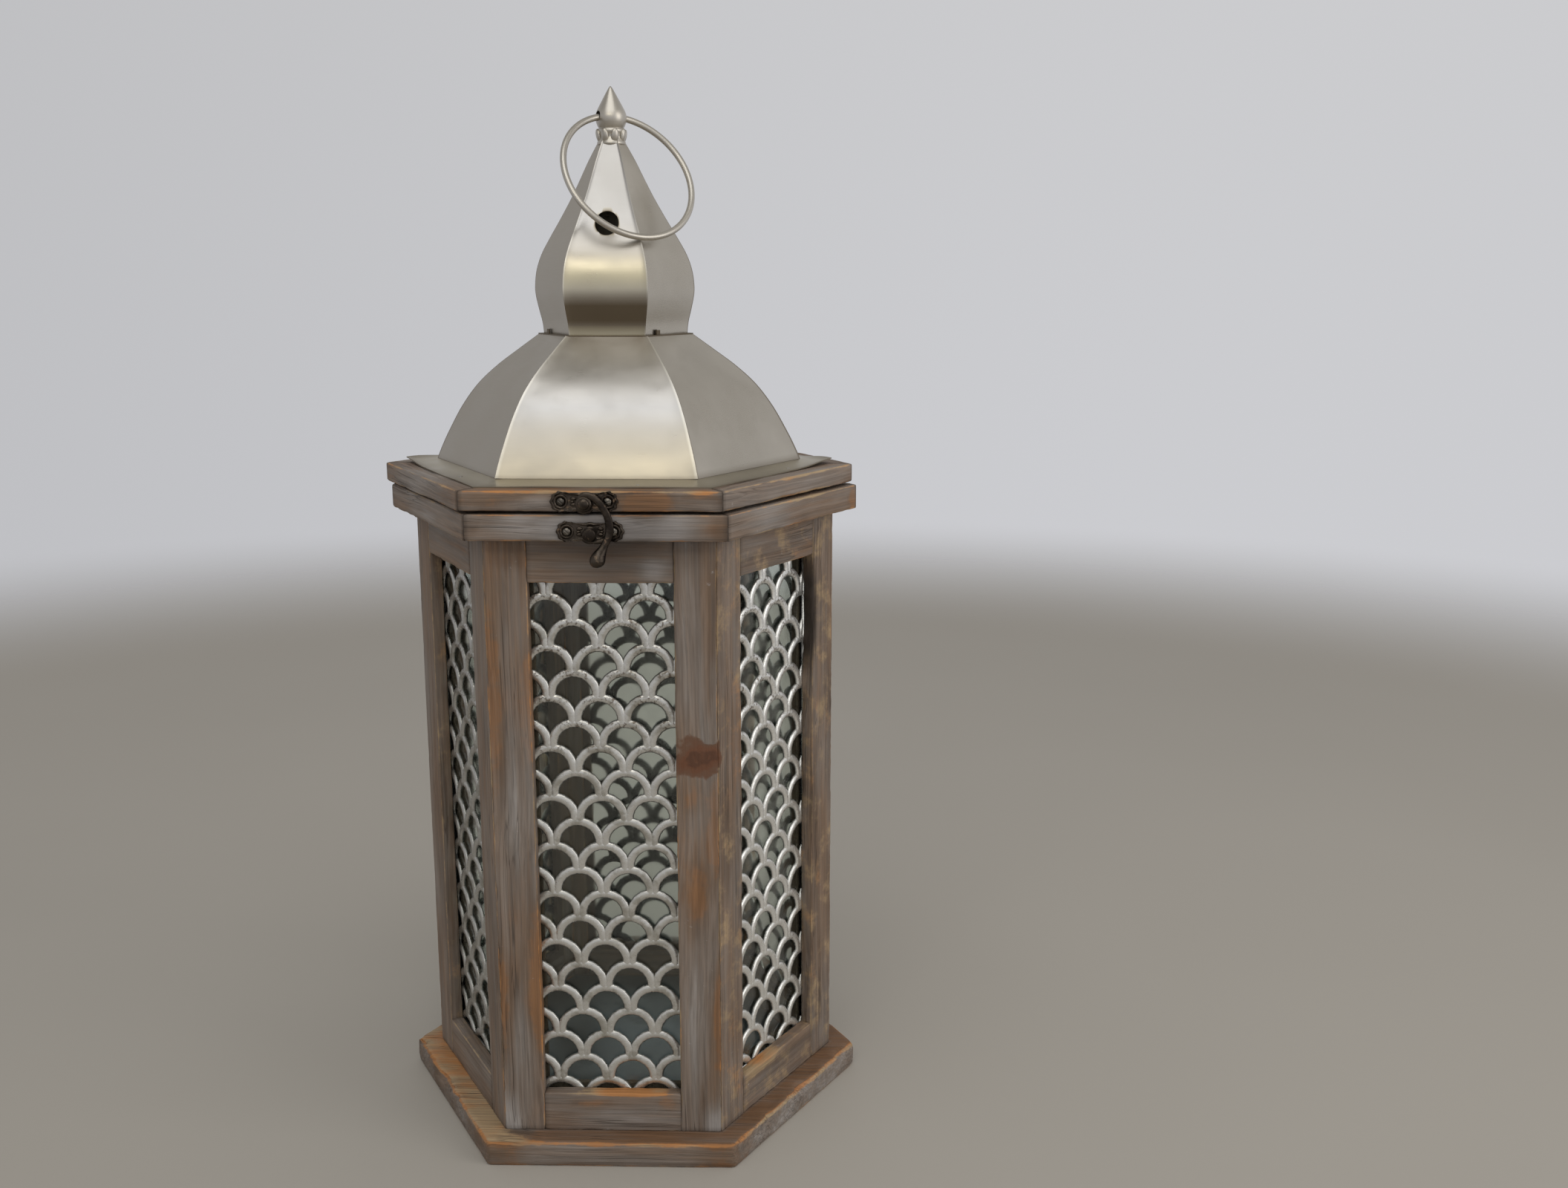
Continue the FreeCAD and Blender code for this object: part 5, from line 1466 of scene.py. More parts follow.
@dataclass
class Roof:
    """Flange, dome and onion of bent sheet."""

    shift: float = LID_SHIFT
    sheet: float = 0.8
    dome: Sequence[Pair] = (
        (129.7, 468.4), (126.0, 477.0), (120.6, 487.8), (110.6, 505.4), (98.6, 521.2), (84.6, 534.0),
        (69.8, 544.9), (54.5, 555.8),
    )
    onion: Sequence[Pair] = (
        (50.5, 556.6), (51.3, 564.0), (53.7, 574.0), (55.5, 583.0), (55.7, 590.0), (54.3, 600.0),
        (50.6, 610.5), (44.4, 621.6), (36.6, 634.5), (28.6, 648.5), (22.2, 661.0), (16.0, 673.5),
        (8.4, 687.0),
    )
    vent_up: float = 630.6
    vent_radius: float = 8.0
    vent_out: float = 45.0
    flange_radius: float = 152.0
    flange_inner: float = 127.0
    flange_bend: float = 130.0
    flange_lift: float = 3.2
    nail_across: float = 28.0
    nail_inset: float = 7.5
    lid_top: float = 465.0
    columns: Sequence[float] = tuple(sorted(
        {sign * edge for edge in (1.0, 0.985, 0.965, 0.92) for sign in (-1, 1)}
        | {-0.85 + 0.1 * step for step in range(18)}
    ))

    def build(self, shop: Workshop) -> None:
        """Build and dress the whole roof."""
        dents = {
            Face.FRONT: [
                Dent(-44.0, 523.0, 5.0, 0.5), Dent(-39.0, 529.0, 4.0, -0.3), Dent(38.0, 527.0, 5.0, 0.4),
                Dent(-50.0, 508.0, 6.0, 0.35),
            ],
        }
        for face in Face:
            self._panel(shop, "dome", face, smooth_line(self.dome, 5), dents.get(face, ()))
            self._panel(shop, "onion", face, smooth_line(self.onion, 4), ())
        self._flange(shop)
        self._nails(shop)
        shop.carry(shop.finishes.roof, "onion_shelf", "onion_tabs")

    def _panel(self, shop: Workshop, word: str, face: Face, line: list[Pair],
               dents: Sequence[Dent]) -> None:
        """Build one bent panel with its inner side, and the vent where it has one.

        Args:
            shop: the frame and the finishes.
            word: the part of the roof, dome or onion.
            face: the panel's side.
            line: distance from the axis to a corner, and height, from the foot up.
            dents: the dents in it.
        """
        lapped = face in (Face.FRONT, Face.REAR)
        draft = Draft()
        outer: list[list[int]] = []
        inner: list[list[int]] = []
        travel = 0.0
        for index, (radius, up) in enumerate(line):
            before, after = line[max(0, index - 1)], line[min(len(line) - 1, index + 1)]
            slope = Vector(((after[0] - before[0]) * COS30, after[1] - before[1])).normalized()
            normal = Vector((slope.y, -slope.x))
            if index:
                travel += math.hypot(radius - line[index - 1][0], up - line[index - 1][1])
            for side, rows in enumerate((outer, inner)):
                points: list[int] = []
                for t in self.columns:
                    lift = 0.7 * max(0.0, (abs(t) - 0.9) / 0.1) if lapped else 0.0
                    out = radius * COS30 + normal.x * (lift - side * self.sheet)
                    height = up + normal.y * (lift - side * self.sheet)
                    half = max(0.5, out * TAN30 + (0.25 if lapped else -0.1))
                    across = t * half
                    soft = noise.noise(Vector((across * 0.03, up * 0.03, face.value * 7.3))) * 0.16
                    press = sum(dent.reach(across, up) for dent in dents)
                    inside = 1.0 - t * t if index not in (0, len(line) - 1) else 0.0
                    move = soft * inside - press
                    out += normal.x * move
                    height += normal.y * move
                    low_share = 1.0 - (up - line[0][1]) / (line[-1][1] - line[0][1])
                    tone = self._tone(word, face, low_share, t, across, up)
                    grain = Vector((across, travel, 100.0 * face.value))
                    points.append(draft.add(face.place(across, out, height, self.shift), tone, grain))
                rows.append(points)
        for rows in (outer, inner):
            for first, second in zip(rows, rows[1:]):
                draft.bridge(first, second, closed=False)
        for ends in (0, -1):
            draft.bridge(outer[ends], inner[ends], closed=False)
            draft.bridge([row[ends] for row in outer], [row[ends] for row in inner], closed=False)
        piece = draft.make(f"{word}_{face.label}_panel")
        if word == "onion" and face is Face.FRONT:
            piece = self._vented(piece)
        self._crease(piece)
        shop.dress(piece, shop.finishes.roof, Body.LID, "roof_sheet", f"{word}_{face.label}")

    def _tone(self, word: str, face: Face, low_share: float, t: float, across: float, up: float) -> Tone:
        """Return the finish of a spot of a panel, painted light and shade included.

        Args:
            word: the part of the roof, dome or onion.
            face: the panel's side.
            low_share: how near its foot the spot is, from 0 to 1.
            t: its place between the panel's edges, from -1 to 1.
            across: its distance from the panel's middle line.
            up: its height.

        Returns:
            Wear for a painted highlight, wash for a painted cool reflection, warm for a golden tint and
            painted warm reflection, dark for tarnish, painted shade and a painted dark reflection.
        """
        front = face is Face.FRONT
        tone = Tone()
        seam = clamp((abs(t) - 0.965) / 0.02)
        # painted highlight along the seams of the front and back panels; dark seam lines on the others
        if face in (Face.FRONT, Face.REAR):
            tone.wear = 0.5 * seam
        else:
            tone.dark = 0.75 * seam
            # painted shade: the left-hand panels are darker
            if face in (Face.FRONT_LEFT, Face.REAR_LEFT):
                tone.dark = max(tone.dark, 0.26 if word == "dome" else 0.19)
            else:
                # painted highlight: the right-hand panels are lighter
                tone.wear = 0.10 if word == "onion" else 0.05
        if word == "dome":
            tone.dark = max(tone.dark, 0.5 * max(0.0, (low_share - 0.955) / 0.045))
            if front:
                # painted reflection: a cool bright band across the middle, warm and darker towards the foot
                tone.wash = 0.85 * max(0.0, 1.0 - abs(low_share - 0.5) / 0.4)
                tone.warm = 0.5 * max(0.0, low_share - 0.5)
                tone.dark = max(tone.dark, 0.22 * max(0.0, (low_share - 0.55) / 0.45))
        elif front:
            # painted reflection: cool above, a warm band, a dark band below it and warm again at the foot
            tone.wash = 0.7 * clamp((0.62 - low_share) / 0.2)
            tone.dark = clamp(1.5 - abs(low_share - 0.89) / 0.085)
            tone.warm = max(0.0, 1.0 - abs(low_share - 0.70) / 0.12)
            if low_share > 0.96:
                tone.warm = 0.9
            # darker patch at the vent's lower edge
            under_vent = math.hypot((across - 2.0) / 8.0, (up - self.vent_up + 9.0) / 6.0)
            tone.dark = max(tone.dark, 0.45 * max(0.0, 1.0 - under_vent))
        return tone

    def _vented(self, piece: Object) -> Object:
        """Cut the vent out of a panel."""
        middle = Vector((self.shift, -self.vent_out, self.vent_up)) * MM
        place = Matrix.Translation(middle) @ Matrix.Rotation(math.pi / 2, 4, "X")
        return drilled(piece, piece.name, place, self.vent_radius, 60.0, 40)

    @staticmethod
    def _crease(piece: Object) -> None:
        """Keep the sheet's edges crisp."""
        piece.data.set_sharp_from_angle(angle=math.radians(35.0))

    def _nails(self, shop: Workshop) -> None:
        """One nail head on the flange of each side."""
        out = self.flange_radius * COS30 - self.nail_inset
        upward = Vector((0.0, 0.0, 1.0))
        spots = [(face.place(self.nail_across, out, self.lid_top + self.sheet, self.shift), upward)
                 for face in Face]
        Fasteners("roof_nail_heads", 1.7, 0.9, slotted=False).build(
            shop, spots, shop.finishes.steel, Body.LID, "steel", "roof_nails")

    def _flange(self, shop: Workshop) -> None:
        """The flat rim of the roof, whose left and right corners have lifted off the wood."""
        draft = Draft()
        rises = ((self.flange_inner, 2.6), (131.0, 2.4), (138.0, 0.7), (146.0, 0.0),
                 (self.flange_radius, 0.0))
        steps = 24
        sheets: list[list[list[int]]] = []
        for level in (self.lid_top, self.lid_top + self.sheet):
            rows: list[list[int]] = []
            for radius, rise in rises:
                share = max(0.0, (radius - self.flange_bend) / (self.flange_radius - self.flange_bend))
                row: list[int] = []
                for side in range(SIDES):
                    start, end = (ray(math.tau * k / SIDES) * radius for k in (side, side + 1))
                    for step in range(steps):
                        spot = start.lerp(end, step / steps)
                        angle = math.atan2(spot.y, spot.x)
                        corner = max(0.0, math.cos(2 * angle)) ** 14
                        lift = rise + self.flange_lift * share ** 2 * corner
                        wave = 0.35 * share * (0.5 + 0.5 * math.sin(angle * 13.0))
                        point = Vector((spot.x + self.shift, spot.y, level + lift + wave))
                        row.append(draft.add(point, Tone(warm=0.4, dark=0.16 + 0.45 * share ** 3)))
                rows.append(row)
            sheets.append(rows)
        loop = [*sheets[0], *reversed(sheets[1])]

        for first, second in zip(loop, [*loop[1:], loop[0]]):
            draft.bridge(first, second)
        piece = draft.make("roof_flange_sheet")
        self._crease(piece)
        shop.dress(piece, shop.finishes.roof, Body.LID, "roof_sheet", "roof_flange")


# -------- fittings

@dataclass
class Fasteners:
    """Domed heads, slotted or plain, that Geometry Nodes set on places with a facing."""

    name: str
    radius: float
    height: float
    slot: float = 0.7
    slotted: bool = True
    seed: int = 3
    FACING = "facing"

    def build(self, shop: Workshop, places: Sequence[tuple[Vector, Vector]], material: Material,
              body: Body, slot: str, node: str) -> None:
        """Build and dress the heads as one piece.

        Args:
            shop: the frame and the finishes.
            places: the place in millimetres and the facing of each head.
            material: the heads' material.
            body: the body that they ride on.
            slot: the record's material slot.
            node: the frame's node that they replace.
        """
        points = bpy.data.meshes.new("fasteners")
        points.from_pydata([spot * MM for spot, _ in places], [], [])
        facing = points.attributes.new(self.FACING, "FLOAT_VECTOR", "POINT")
        for index, (_, direction) in enumerate(places):
            facing.data[index].vector = direction.normalized()
        spread = Spread("DomedHeads", {
            "Radius": self.radius * MM, "Height": self.height * MM, "Slot": self.slot * MM,
            "Slotted": self.slotted, "Seed": self.seed,
        }, points)
        heads = spread.copies(spread.given["Geometry"], self._head(spread), Rotation=self._facing(spread))
        shop.dress(finished(self.name, spread.mesh(heads, material)), material, body, slot, node)

    @staticmethod
    def _head(spread: Spread) -> NodeSocket:
        """Return one domed head, with its slot cut where it has one."""
        graph, given = spread.graph, spread.given
        ball = graph.out("GeometryNodeMeshUVSphere", {
            "Segments": 24, "Rings": 12, "Radius": given["Radius"],
        })
        flat = graph.maths("DIVIDE", given["Height"], given["Radius"])
        dome = graph.out("GeometryNodeTransform", {"Geometry": ball, "Scale": graph.xyz(1.0, 1.0, flat)})
        width = graph.times(given["Radius"], 3.0)
        block = graph.out("GeometryNodeMeshCube", {"Size": graph.xyz(width, given["Slot"], given["Height"])})
        lifted = graph.out("GeometryNodeTransform", {
            "Geometry": block, "Translation": graph.xyz(0.0, 0.0, given["Height"]),
        })
        cut = graph.out("GeometryNodeMeshBoolean", {0: dome, 1: lifted},
                        operation="DIFFERENCE", solver="EXACT")
        return graph.out("GeometryNodeSwitch", {
            "Switch": given["Slotted"], "False": dome, "True": cut,
        }, input_type="GEOMETRY")

    def _facing(self, spread: Spread) -> NodeSocket:
        """Return each head's rotation: it faces its own way, and its slot points anywhere."""
        graph = spread.graph
        facing = graph.out("GeometryNodeInputNamedAttribute", {"Name": self.FACING}, data_type="FLOAT_VECTOR")
        turned = graph.out("FunctionNodeAlignRotationToVector", {"Vector": facing}, axis="Z")
        spin = graph.add("FunctionNodeRandomValue", {2: 0.0, 3: math.pi, "Seed": spread.given["Seed"]},
                         data_type="FLOAT")
        spun = graph.out("FunctionNodeAxisAngleToRotation", {"Angle": spin.outputs[1]})
        return graph.out("FunctionNodeRotateRotation", {0: turned, 1: spun}, rotation_space="LOCAL")


@dataclass
class Finial:
    """The pointed bulb with its eye, and the petalled collar under it."""

    axis: float = LID_SHIFT
    foot: float = 694.7
    eye_up: float = 702.3
    eye_radius: float = 3.4
    eye_turn: float = 35.0
    profile: Sequence[Pair] = (
        (0.2, 694.0), (7.6, 694.0), (8.6, 694.8), (9.6, 696.6), (10.5, 699.6), (10.6, 702.4), (9.8, 705.4),
        (8.2, 708.6), (6.4, 711.9), (4.6, 715.2), (2.8, 718.4), (1.3, 720.9), (0.5, 721.9), (0.05, 722.2),
    )
    collar: Sequence[Pair] = (
        (8.3, 683.6), (9.4, 683.4), (9.9, 684.6), (9.2, 686.6), (8.6, 688.6), (9.0, 690.8), (9.6, 692.4),
        (9.3, 693.9), (7.9, 694.6), (2.2, 694.6), (2.2, 690.0), (7.6, 688.0),
    )
    petals: int = 8
    petal_radius: float = 2.75
    petal_reach: float = 9.0
    petal_drop: float = 5.4

    def build(self, shop: Workshop) -> None:
        """Build and dress the finial, its collar and the ring."""
        draft = Draft()
        draft.turn(smooth_line(self.profile, 4), self._upright, 56)
        bulb = self._eyed(draft.make("bulb"))
        shop.dress(bulb, shop.finishes.silver, Body.LID, "finial_metal", "finial")
        core = Draft()
        core.turn([*smooth_line(self.collar, 3), self.collar[0]], self._upright, 48)
        base = core.make("collar_core")
        petals = self._petals(shop.finishes.silver)
        collar = joined("finial_collar_petals", [base.data, petals])
        bpy.data.objects.remove(base)
        shop.dress(collar, shop.finishes.silver, Body.LID, "finial_metal", "finial_collar")
        shop.carry(shop.finishes.silver, "ring_handle")
        shop.carry(shop.finishes.steel, "finial_stud", "finial_washer", "finial_nut")

    def _upright(self, x: float, y: float, up: float) -> Vector:
        """Return a place round the finial's axis."""
        return Vector((x + self.axis, y, up))

    def _eyed(self, piece: Object) -> Object:
        """Bore the eye for the ring through the bulb."""
        middle = Vector((self.axis, 0.0, self.eye_up)) * MM
        turned = Matrix.Rotation(math.radians(self.eye_turn), 4, "Z")
        place = Matrix.Translation(middle) @ turned @ Matrix.Rotation(math.pi / 2, 4, "Y")
        bulb = drilled(piece, "finial_bulb", place, self.eye_radius, 50.0, 32)
        bulb.data.set_sharp_from_angle(angle=math.radians(50.0))
        return bulb

    def _petals(self, material: Material) -> Mesh:
        """Return the petals, which Geometry Nodes set round the collar."""
        spread = Spread("PetalRing", {
            "Petal Radius": self.petal_radius * MM, "Reach": self.petal_reach * MM,
            "Axis": self.axis * MM, "Level": (self.foot - self.petal_drop) * MM, "Count": self.petals,
        })
        graph, given = spread.graph, spread.given
        ball = graph.out("GeometryNodeMeshUVSphere", {
            "Segments": 16, "Rings": 10, "Radius": given["Petal Radius"],
        })
        petal = graph.out("GeometryNodeTransform", {
            "Geometry": ball, "Scale": (0.62, 1.0, 1.75), "Rotation": (0.0, 0.22, 0.0),
        })
        turn = graph.times(graph.maths("ADD", graph.out("GeometryNodeInputIndex"), 0.5), math.tau)
        angle = graph.maths("DIVIDE", turn, given["Count"])
        spot = graph.xyz(
            graph.maths("MULTIPLY_ADD", graph.maths("COSINE", angle), given["Reach"], given["Axis"]),
            graph.times(graph.maths("SINE", angle), given["Reach"]), given["Level"],
        )
        points = graph.out("GeometryNodePoints", {"Count": given["Count"], "Position": spot})
        copies = spread.copies(points, petal, Rotation=graph.xyz(0.0, 0.0, angle))
        return spread.mesh(copies, material)


@dataclass
class Latch:
    """The swing hook, its two plates with cast relief, and their screws."""

    wood: float = WOOD_FACE
    pivot: Pair = (-6.5, 457.3)
    plate_centre: Pair = (-6.5, 458.5)
    catch_centre: Pair = (-3.2, 439.6)
    stud: Pair = (-3.2, 438.4)
    eye_spacing: float = 29.4
    eye_radius: float = 6.9
    boss_radius: float = 7.0
    waist: float = 11.0
    thickness: float = 1.2

    def build(self, shop: Workshop) -> None:
        """Build and dress the latch."""
        bronze = shop.finishes.bronze
        for name, centre, body in (("latch_plate", self.plate_centre, Body.LID),
                                   ("catch_plate", self.catch_centre, Body.BODY)):
            shop.dress(self._plate(f"{name}_relief", centre), bronze, body, "dark_bronze", name)
        for name, centre, body in (("latch_screws", self.plate_centre, Body.LID),
                                   ("catch_screws", self.catch_centre, Body.BODY)):
            spots = [
                (Face.FRONT.place(centre[0] + side * self.eye_spacing / 2, self.wood + self.thickness,
                                  centre[1]), FORWARD)
                for side in (-1, 1)
            ]
            Fasteners(f"{name}_heads", 2.6, 1.4, seed=len(name)).build(
                shop, spots, shop.finishes.screws, body, "dark_bronze", name)
        self._turned(shop, "latch_rivet_dome", self.pivot, Body.LID, "latch_rivet", (
            (1.5, 4.6), (3.3, 4.6), (3.7, 4.9), (3.5, 5.5), (2.7, 6.1), (1.5, 6.5), (0.2, 6.6)))
        self._turned(shop, "catch_stud_dome", self.stud, Body.BODY, "catch_stud", (
            (1.7, 0.8), (1.75, 5.7), (2.6, 6.0), (3.9, 6.2), (4.3, 6.7), (4.0, 7.4), (2.9, 7.9), (1.4, 8.2),
            (0.2, 8.25)))
        self._hook(shop)

    def _set_on(self, across: float, up: float) -> Callable[[float, float, float], Vector]:
        """Return what places a point of a shape that stands on the wood at a middle.

        Args:
            across: the middle's distance to the right.
            up: the middle's height.

        Returns:
            The place of a point from how far right, up and out from the wood it is.
        """
        return lambda x, y, out: Face.FRONT.place(across + x, self.wood + out, up + y)

    def _turned(self, shop: Workshop, name: str, centre: Pair, body: Body, node: str,
                profile: Sequence[Pair]) -> None:
        """Build and dress a turned knob that stands on the wood.

        Args:
            shop: the frame and the finishes.
            name: the piece's name.
            centre: its place across and up.
            body: the body that it rides on.
            node: the frame's node that it replaces.
            profile: radius and distance from the wood of each ring.
        """
        draft = Draft()
        draft.turn(smooth_line(profile, 3), self._set_on(*centre), 32)
        shop.dress(draft.make(name), shop.finishes.bronze, body, "dark_bronze", node)

    def _outline(self, angle: float) -> float:
        """Return how far a plate's scalloped outline is from its middle in a direction."""
        way = ray(angle)
        far = 0.0
        circles = [((0.0, -1.0), self.boss_radius)]
        half = self.eye_spacing / 2
        lobes = 9
        lobe_radius = 1.7
        lobe_reach = self.eye_radius - lobe_radius
        for side in (-1, 1):
            circles.append(((side * half, 0.0), self.eye_radius - 0.7))
            for lobe in range(lobes):
                turn = math.tau * lobe / lobes + (0.0 if side > 0 else math.pi)
                circles.append(((side * half + lobe_reach * math.cos(turn), lobe_reach * math.sin(turn)),
                                lobe_radius))

        for (x, y), radius in circles:
            middle = Vector((x, y))
            along = middle.dot(way)
            spare = radius ** 2 - (middle - way * along).length_squared
            if spare > 0.0:
                far = max(far, along + math.sqrt(spare))
        if abs(way.y) > 1e-6:
            at_waist = self.waist / 2 / abs(way.y)
            if abs(way.x) * at_waist <= half:
                far = max(far, at_waist)
        return far

    def _plate(self, name: str, centre: Pair) -> Object:
        """Build one plate: a raised scalloped border round a sunk field with bosses.

        Args:
            name: the piece's name.
            centre: its place across and up.

        Returns:
            The new object.
        """
        draft = Draft()
        steps = 220
        angles = [math.tau * step / steps for step in range(steps)]
        reach = [self._outline(angle) for angle in angles]
        levels = [(0.0, 0.0), (0.0, 0.9), (0.5, 1.45), (1.2, 1.6), (1.8, 1.4), (2.3, 0.85), (3.0, 0.8)]
        spans = [([max(0.25 * far, far - inset) for far in reach], height) for inset, height in levels]
        spans += [([share * 0.8 * far for far in reach], 0.9) for share in (0.6, 0.3)]
        place = self._set_on(*centre)
        draft.stack([
            [draft.add(place(far * math.cos(angle), far * math.sin(angle), height))
             for far, angle in zip(span, angles)]
            for span, height in spans
        ])
        half = self.eye_spacing / 2
        for side in (-1, 1):
            draft.turn([(4.6, 0.4), (4.6, 1.3), (4.1, 1.75), (3.4, 1.5), (3.0, 0.9), (0.5, 0.9)],
                       self._set_on(centre[0] + side * half, centre[1]), 30)
            for turn, size in ((0.6, 1.5), (-0.6, 1.5), (0.0, 1.1)):
                boss = self._set_on(centre[0] + side * (7.4 - 1.3 * abs(turn)), centre[1] + 3.1 * turn)
                draft.turn([(size, 0.4), (size, 1.2), (size * 0.7, 1.65), (0.1, 1.85)],
                           lambda x, y, out, boss=boss: boss(x * 1.4, y * 0.8, out), 16)
        return draft.make(name)

    def _hook(self, shop: Workshop) -> None:
        """Build and dress the hook: boss, curved arm, finger under the stud and a flared knob."""
        draft = Draft()
        boss = [(4.6, 2.75), (5.2, 3.0), (5.4, 3.6), (5.2, 4.3), (4.5, 4.9), (3.4, 5.1), (0.3, 5.1)]
        draft.turn(smooth_line(boss, 3), self._set_on(*self.pivot), 36)

        arm = [
            (-9.4, 460.8, 3.9, 1.4, 0.9), (-6.9, 462.7, 4.0, 1.9, 1.1), (-3.6, 463.0, 4.1, 2.1, 1.2),
            (0.8, 460.8, 4.2, 2.2, 1.2), (5.0, 456.2, 4.3, 2.3, 1.25), (8.3, 449.8, 4.3, 2.4, 1.3),
            (9.6, 442.8, 4.3, 2.6, 1.3), (8.7, 437.0, 4.3, 2.5, 1.3), (6.7, 432.6, 4.6, 2.4, 1.5),
            (5.7, 430.5, 4.9, 2.6, 1.8), (4.8, 428.7, 5.3, 3.0, 2.2), (3.6, 426.4, 6.0, 3.9, 3.0),
            (2.5, 424.0, 6.8, 4.7, 3.8), (1.8, 422.0, 7.3, 4.9, 4.1), (1.5, 420.1, 7.6, 4.3, 3.6),
            (1.4, 418.5, 7.8, 2.8, 2.4), (1.4, 417.8, 7.9, 0.8, 0.7),
        ]
        finger = [
            (9.2, 438.4, 4.2, 1.4, 1.0), (7.0, 435.4, 4.1, 1.7, 1.0), (3.4, 433.9, 4.0, 1.5, 1.0),
            (-0.4, 433.5, 4.0, 1.2, 0.95), (-2.4, 433.7, 4.0, 0.6, 0.7),
        ]
        for stations in (arm, finger):
            draft.rod([
                (Face.FRONT.place(across, self.wood + out, height), width, thickness)
                for across, height, out, width, thickness in smooth_line(stations, 5)
            ], FORWARD, 16)

        shop.dress(draft.make("latch_hook_arm"), shop.finishes.bronze, Body.HOOK, "dark_bronze", "latch_hook")


@dataclass
class Hinges:
    """The two butt hinges on the back and their screws."""

    wood: float = WOOD_FACE
    offset: float = 48.0
    spacing: float = 15.0
    axis_up: float = 451.0
    screw_gap: float = 7.1
    leaf: float = 1.0

    def build(self, shop: Workshop) -> None:
        """Dress the leaves and pins and set the screw heads."""
        bronze = shop.finishes.bronze
        shop.carry(bronze, "hinge_leaves_lid", "hinge_leaves_rim", "hinge_pins")
        for name, sign, body in (("hinge_screws_lid", 1, Body.LID), ("hinge_screws_rim", -1, Body.BODY)):
            spots = [
                (Face.REAR.place(side * self.offset + across * self.spacing / 2, self.wood + self.leaf,
                                 self.axis_up + sign * self.screw_gap), -FORWARD)
                for side in (-1, 1) for across in (-1, 1)
            ]
            Fasteners(f"{name}_heads", 2.2, 0.8, slot=0.5, seed=len(name) + sign).build(
                shop, spots, bronze, body, "dark_bronze", name)


# -------- studio

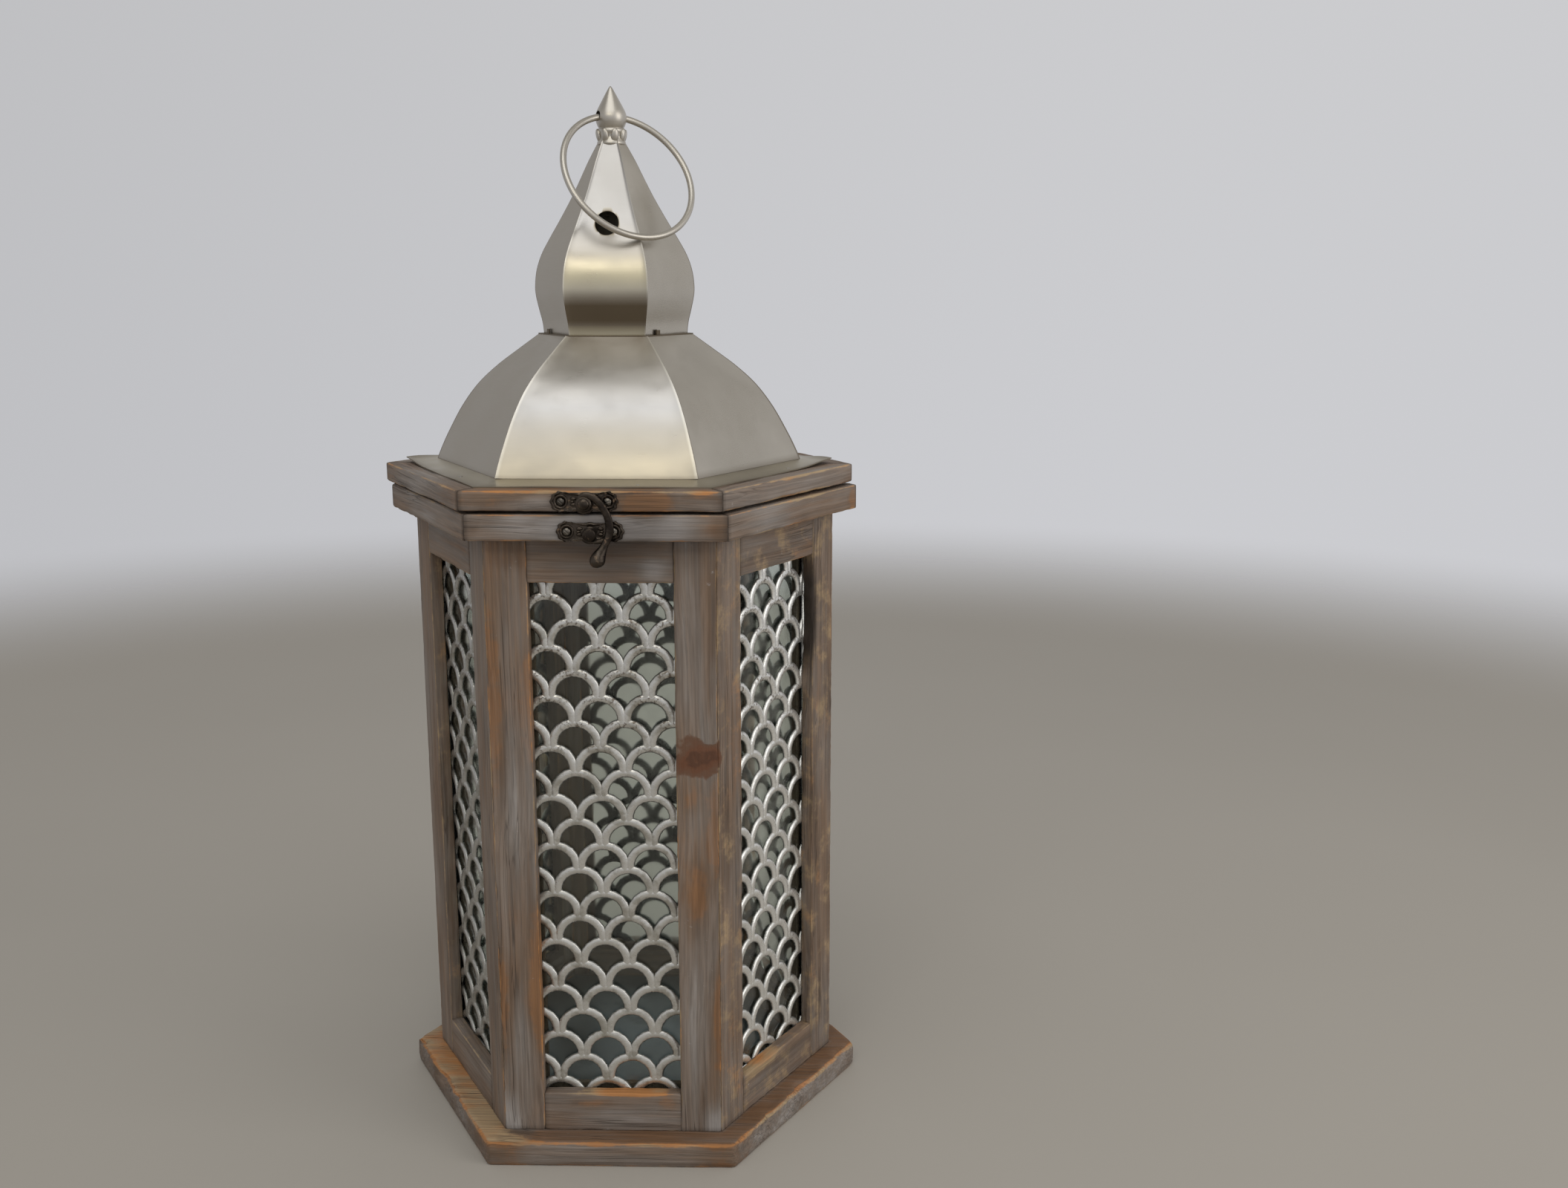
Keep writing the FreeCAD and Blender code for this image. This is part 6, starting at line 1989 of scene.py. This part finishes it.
@dataclass
class Studio:
    """A pale floor, soft light and the camera at the photograph's angle."""

    eye: Triple = (0.13977, -1.10263, 0.60101)
    tilt: float = 0.2066
    turn: float = 0.0225
    lens: float = 35.69
    sensor: float = 36.0
    floor_half: float = 2.7
    floor_fade: float = 1.2

    def build(self) -> None:
        """Set the scene round the lantern."""
        self._camera()
        self._floor()
        self._world()
        self._lamp("overhead", (0.0, -1.05, 2.45), (2.0, 1.3), 11.5, (0.97, 0.985, 1.0))
        self._lamp("low_front", (-0.15, -1.75, 1.62), (1.5, 0.3), 4.2, (1.0, 0.96, 0.84))
        self._lamp("side", (1.9, -0.9, 1.1), (1.2, 1.6), 9.5, (1.0, 0.97, 0.93))

    def _camera(self) -> None:
        """Put the camera where the photograph was taken."""
        data = bpy.data.cameras.new("camera")
        data.sensor_width = self.sensor
        data.lens = self.lens
        data.clip_start = 0.05
        camera = shown("camera", data)
        camera.location = self.eye
        camera.rotation_euler = (math.pi / 2 - self.tilt, 0.0, self.turn)
        bpy.context.scene.camera = camera

    def _floor(self) -> None:
        """A plain floor whose far edges melt into the surround."""
        mesh = bpy.data.meshes.new("floor")
        half = self.floor_half
        mesh.from_pydata([(-half, -half, 0), (half, -half, 0), (half, half, 0), (-half, half, 0)], [],
                         [(0, 1, 2, 3)])
        floor = shown("floor", mesh)
        material = bpy.data.materials.new("floor_paper")
        material.use_nodes = True
        graph = Graph(material.node_tree)
        shader = graph.add("ShaderNodeBsdfPrincipled")
        shader.inputs["Roughness"].default_value = 0.7
        coords = Finish.own_coords(graph)
        cloud = graph.noise(coords, 1.5, 2.0)
        colour = graph.mix(cloud, (0.42, 0.39, 0.345), (0.46, 0.43, 0.385))
        far = graph.add("ShaderNodeVectorMath", {0: coords}, operation="LENGTH").outputs[1]
        there = graph.span(far, self.floor_half - self.floor_fade, self.floor_half, 1.0, 0.0)
        Finish.join(graph, shader, Base_Color=colour, Alpha=there)
        graph.add("ShaderNodeOutputMaterial", {"Surface": shader.outputs[0]})
        mesh.materials.append(material)

    def _world(self) -> None:
        """An even pale surround, a little warmer below and dimmer overhead."""
        world = bpy.data.worlds.new("surround")
        bpy.context.scene.world = world
        world.use_nodes = True
        graph = Graph(world.node_tree)
        coords = graph.add("ShaderNodeTexCoord").outputs["Generated"]
        side, _, height = graph.add("ShaderNodeSeparateXYZ", {0: coords}).outputs
        ramp = graph.add("ShaderNodeValToRGB", {0: graph.span(height, -1.0, 1.0)})
        stops = ramp.color_ramp.elements
        stops[0].position, stops[0].color = 0.12, opaque((0.42, 0.40, 0.37))
        stops[1].position, stops[1].color = 0.26, opaque((0.60, 0.605, 0.635))
        for position, colour in ((0.8, (0.60, 0.60, 0.61)), (0.99, (0.40, 0.39, 0.37))):
            stop = stops.new(position)
            stop.color = opaque(colour)
        strength = graph.span(side, -0.9, 0.3, 0.82, 1.0)
        back = graph.add("ShaderNodeBackground", {"Color": ramp.outputs[0], "Strength": strength})
        graph.add("ShaderNodeOutputWorld", {"Surface": back.outputs[0]})

    @staticmethod
    def _lamp(name: str, place: Triple, size: Pair, power: float,
              colour: Colour) -> None:
        """Hang a soft light that looks at the lantern.

        Args:
            name: the light's name.
            place: where it hangs, in metres.
            size: its width and height in metres.
            power: its power in watts.
            colour: its colour.
        """
        data = bpy.data.lights.new(name, "AREA")
        data.shape = "RECTANGLE"
        data.size, data.size_y = size
        data.energy = power
        data.color = colour
        lamp = shown(name, data)
        lamp.location = place
        aim = Vector((0.0, 0.0, 0.4)) - Vector(place)
        lamp.rotation_euler = aim.to_track_quat("-Z", "Y").to_euler()


def main() -> None:
    """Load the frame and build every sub-assembly round it."""
    logging.basicConfig(level=logging.INFO, format="%(message)s")
    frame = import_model()
    bpy.context.scene.view_settings.view_transform = "Standard"
    shop = Workshop(frame, Finishes())
    WoodenBody().build(shop)
    Windows().build(shop)
    Roof().build(shop)
    Finial().build(shop)
    Latch().build(shop)
    Hinges().build(shop)
    Studio().build()


if __name__ == "__main__":
    main()
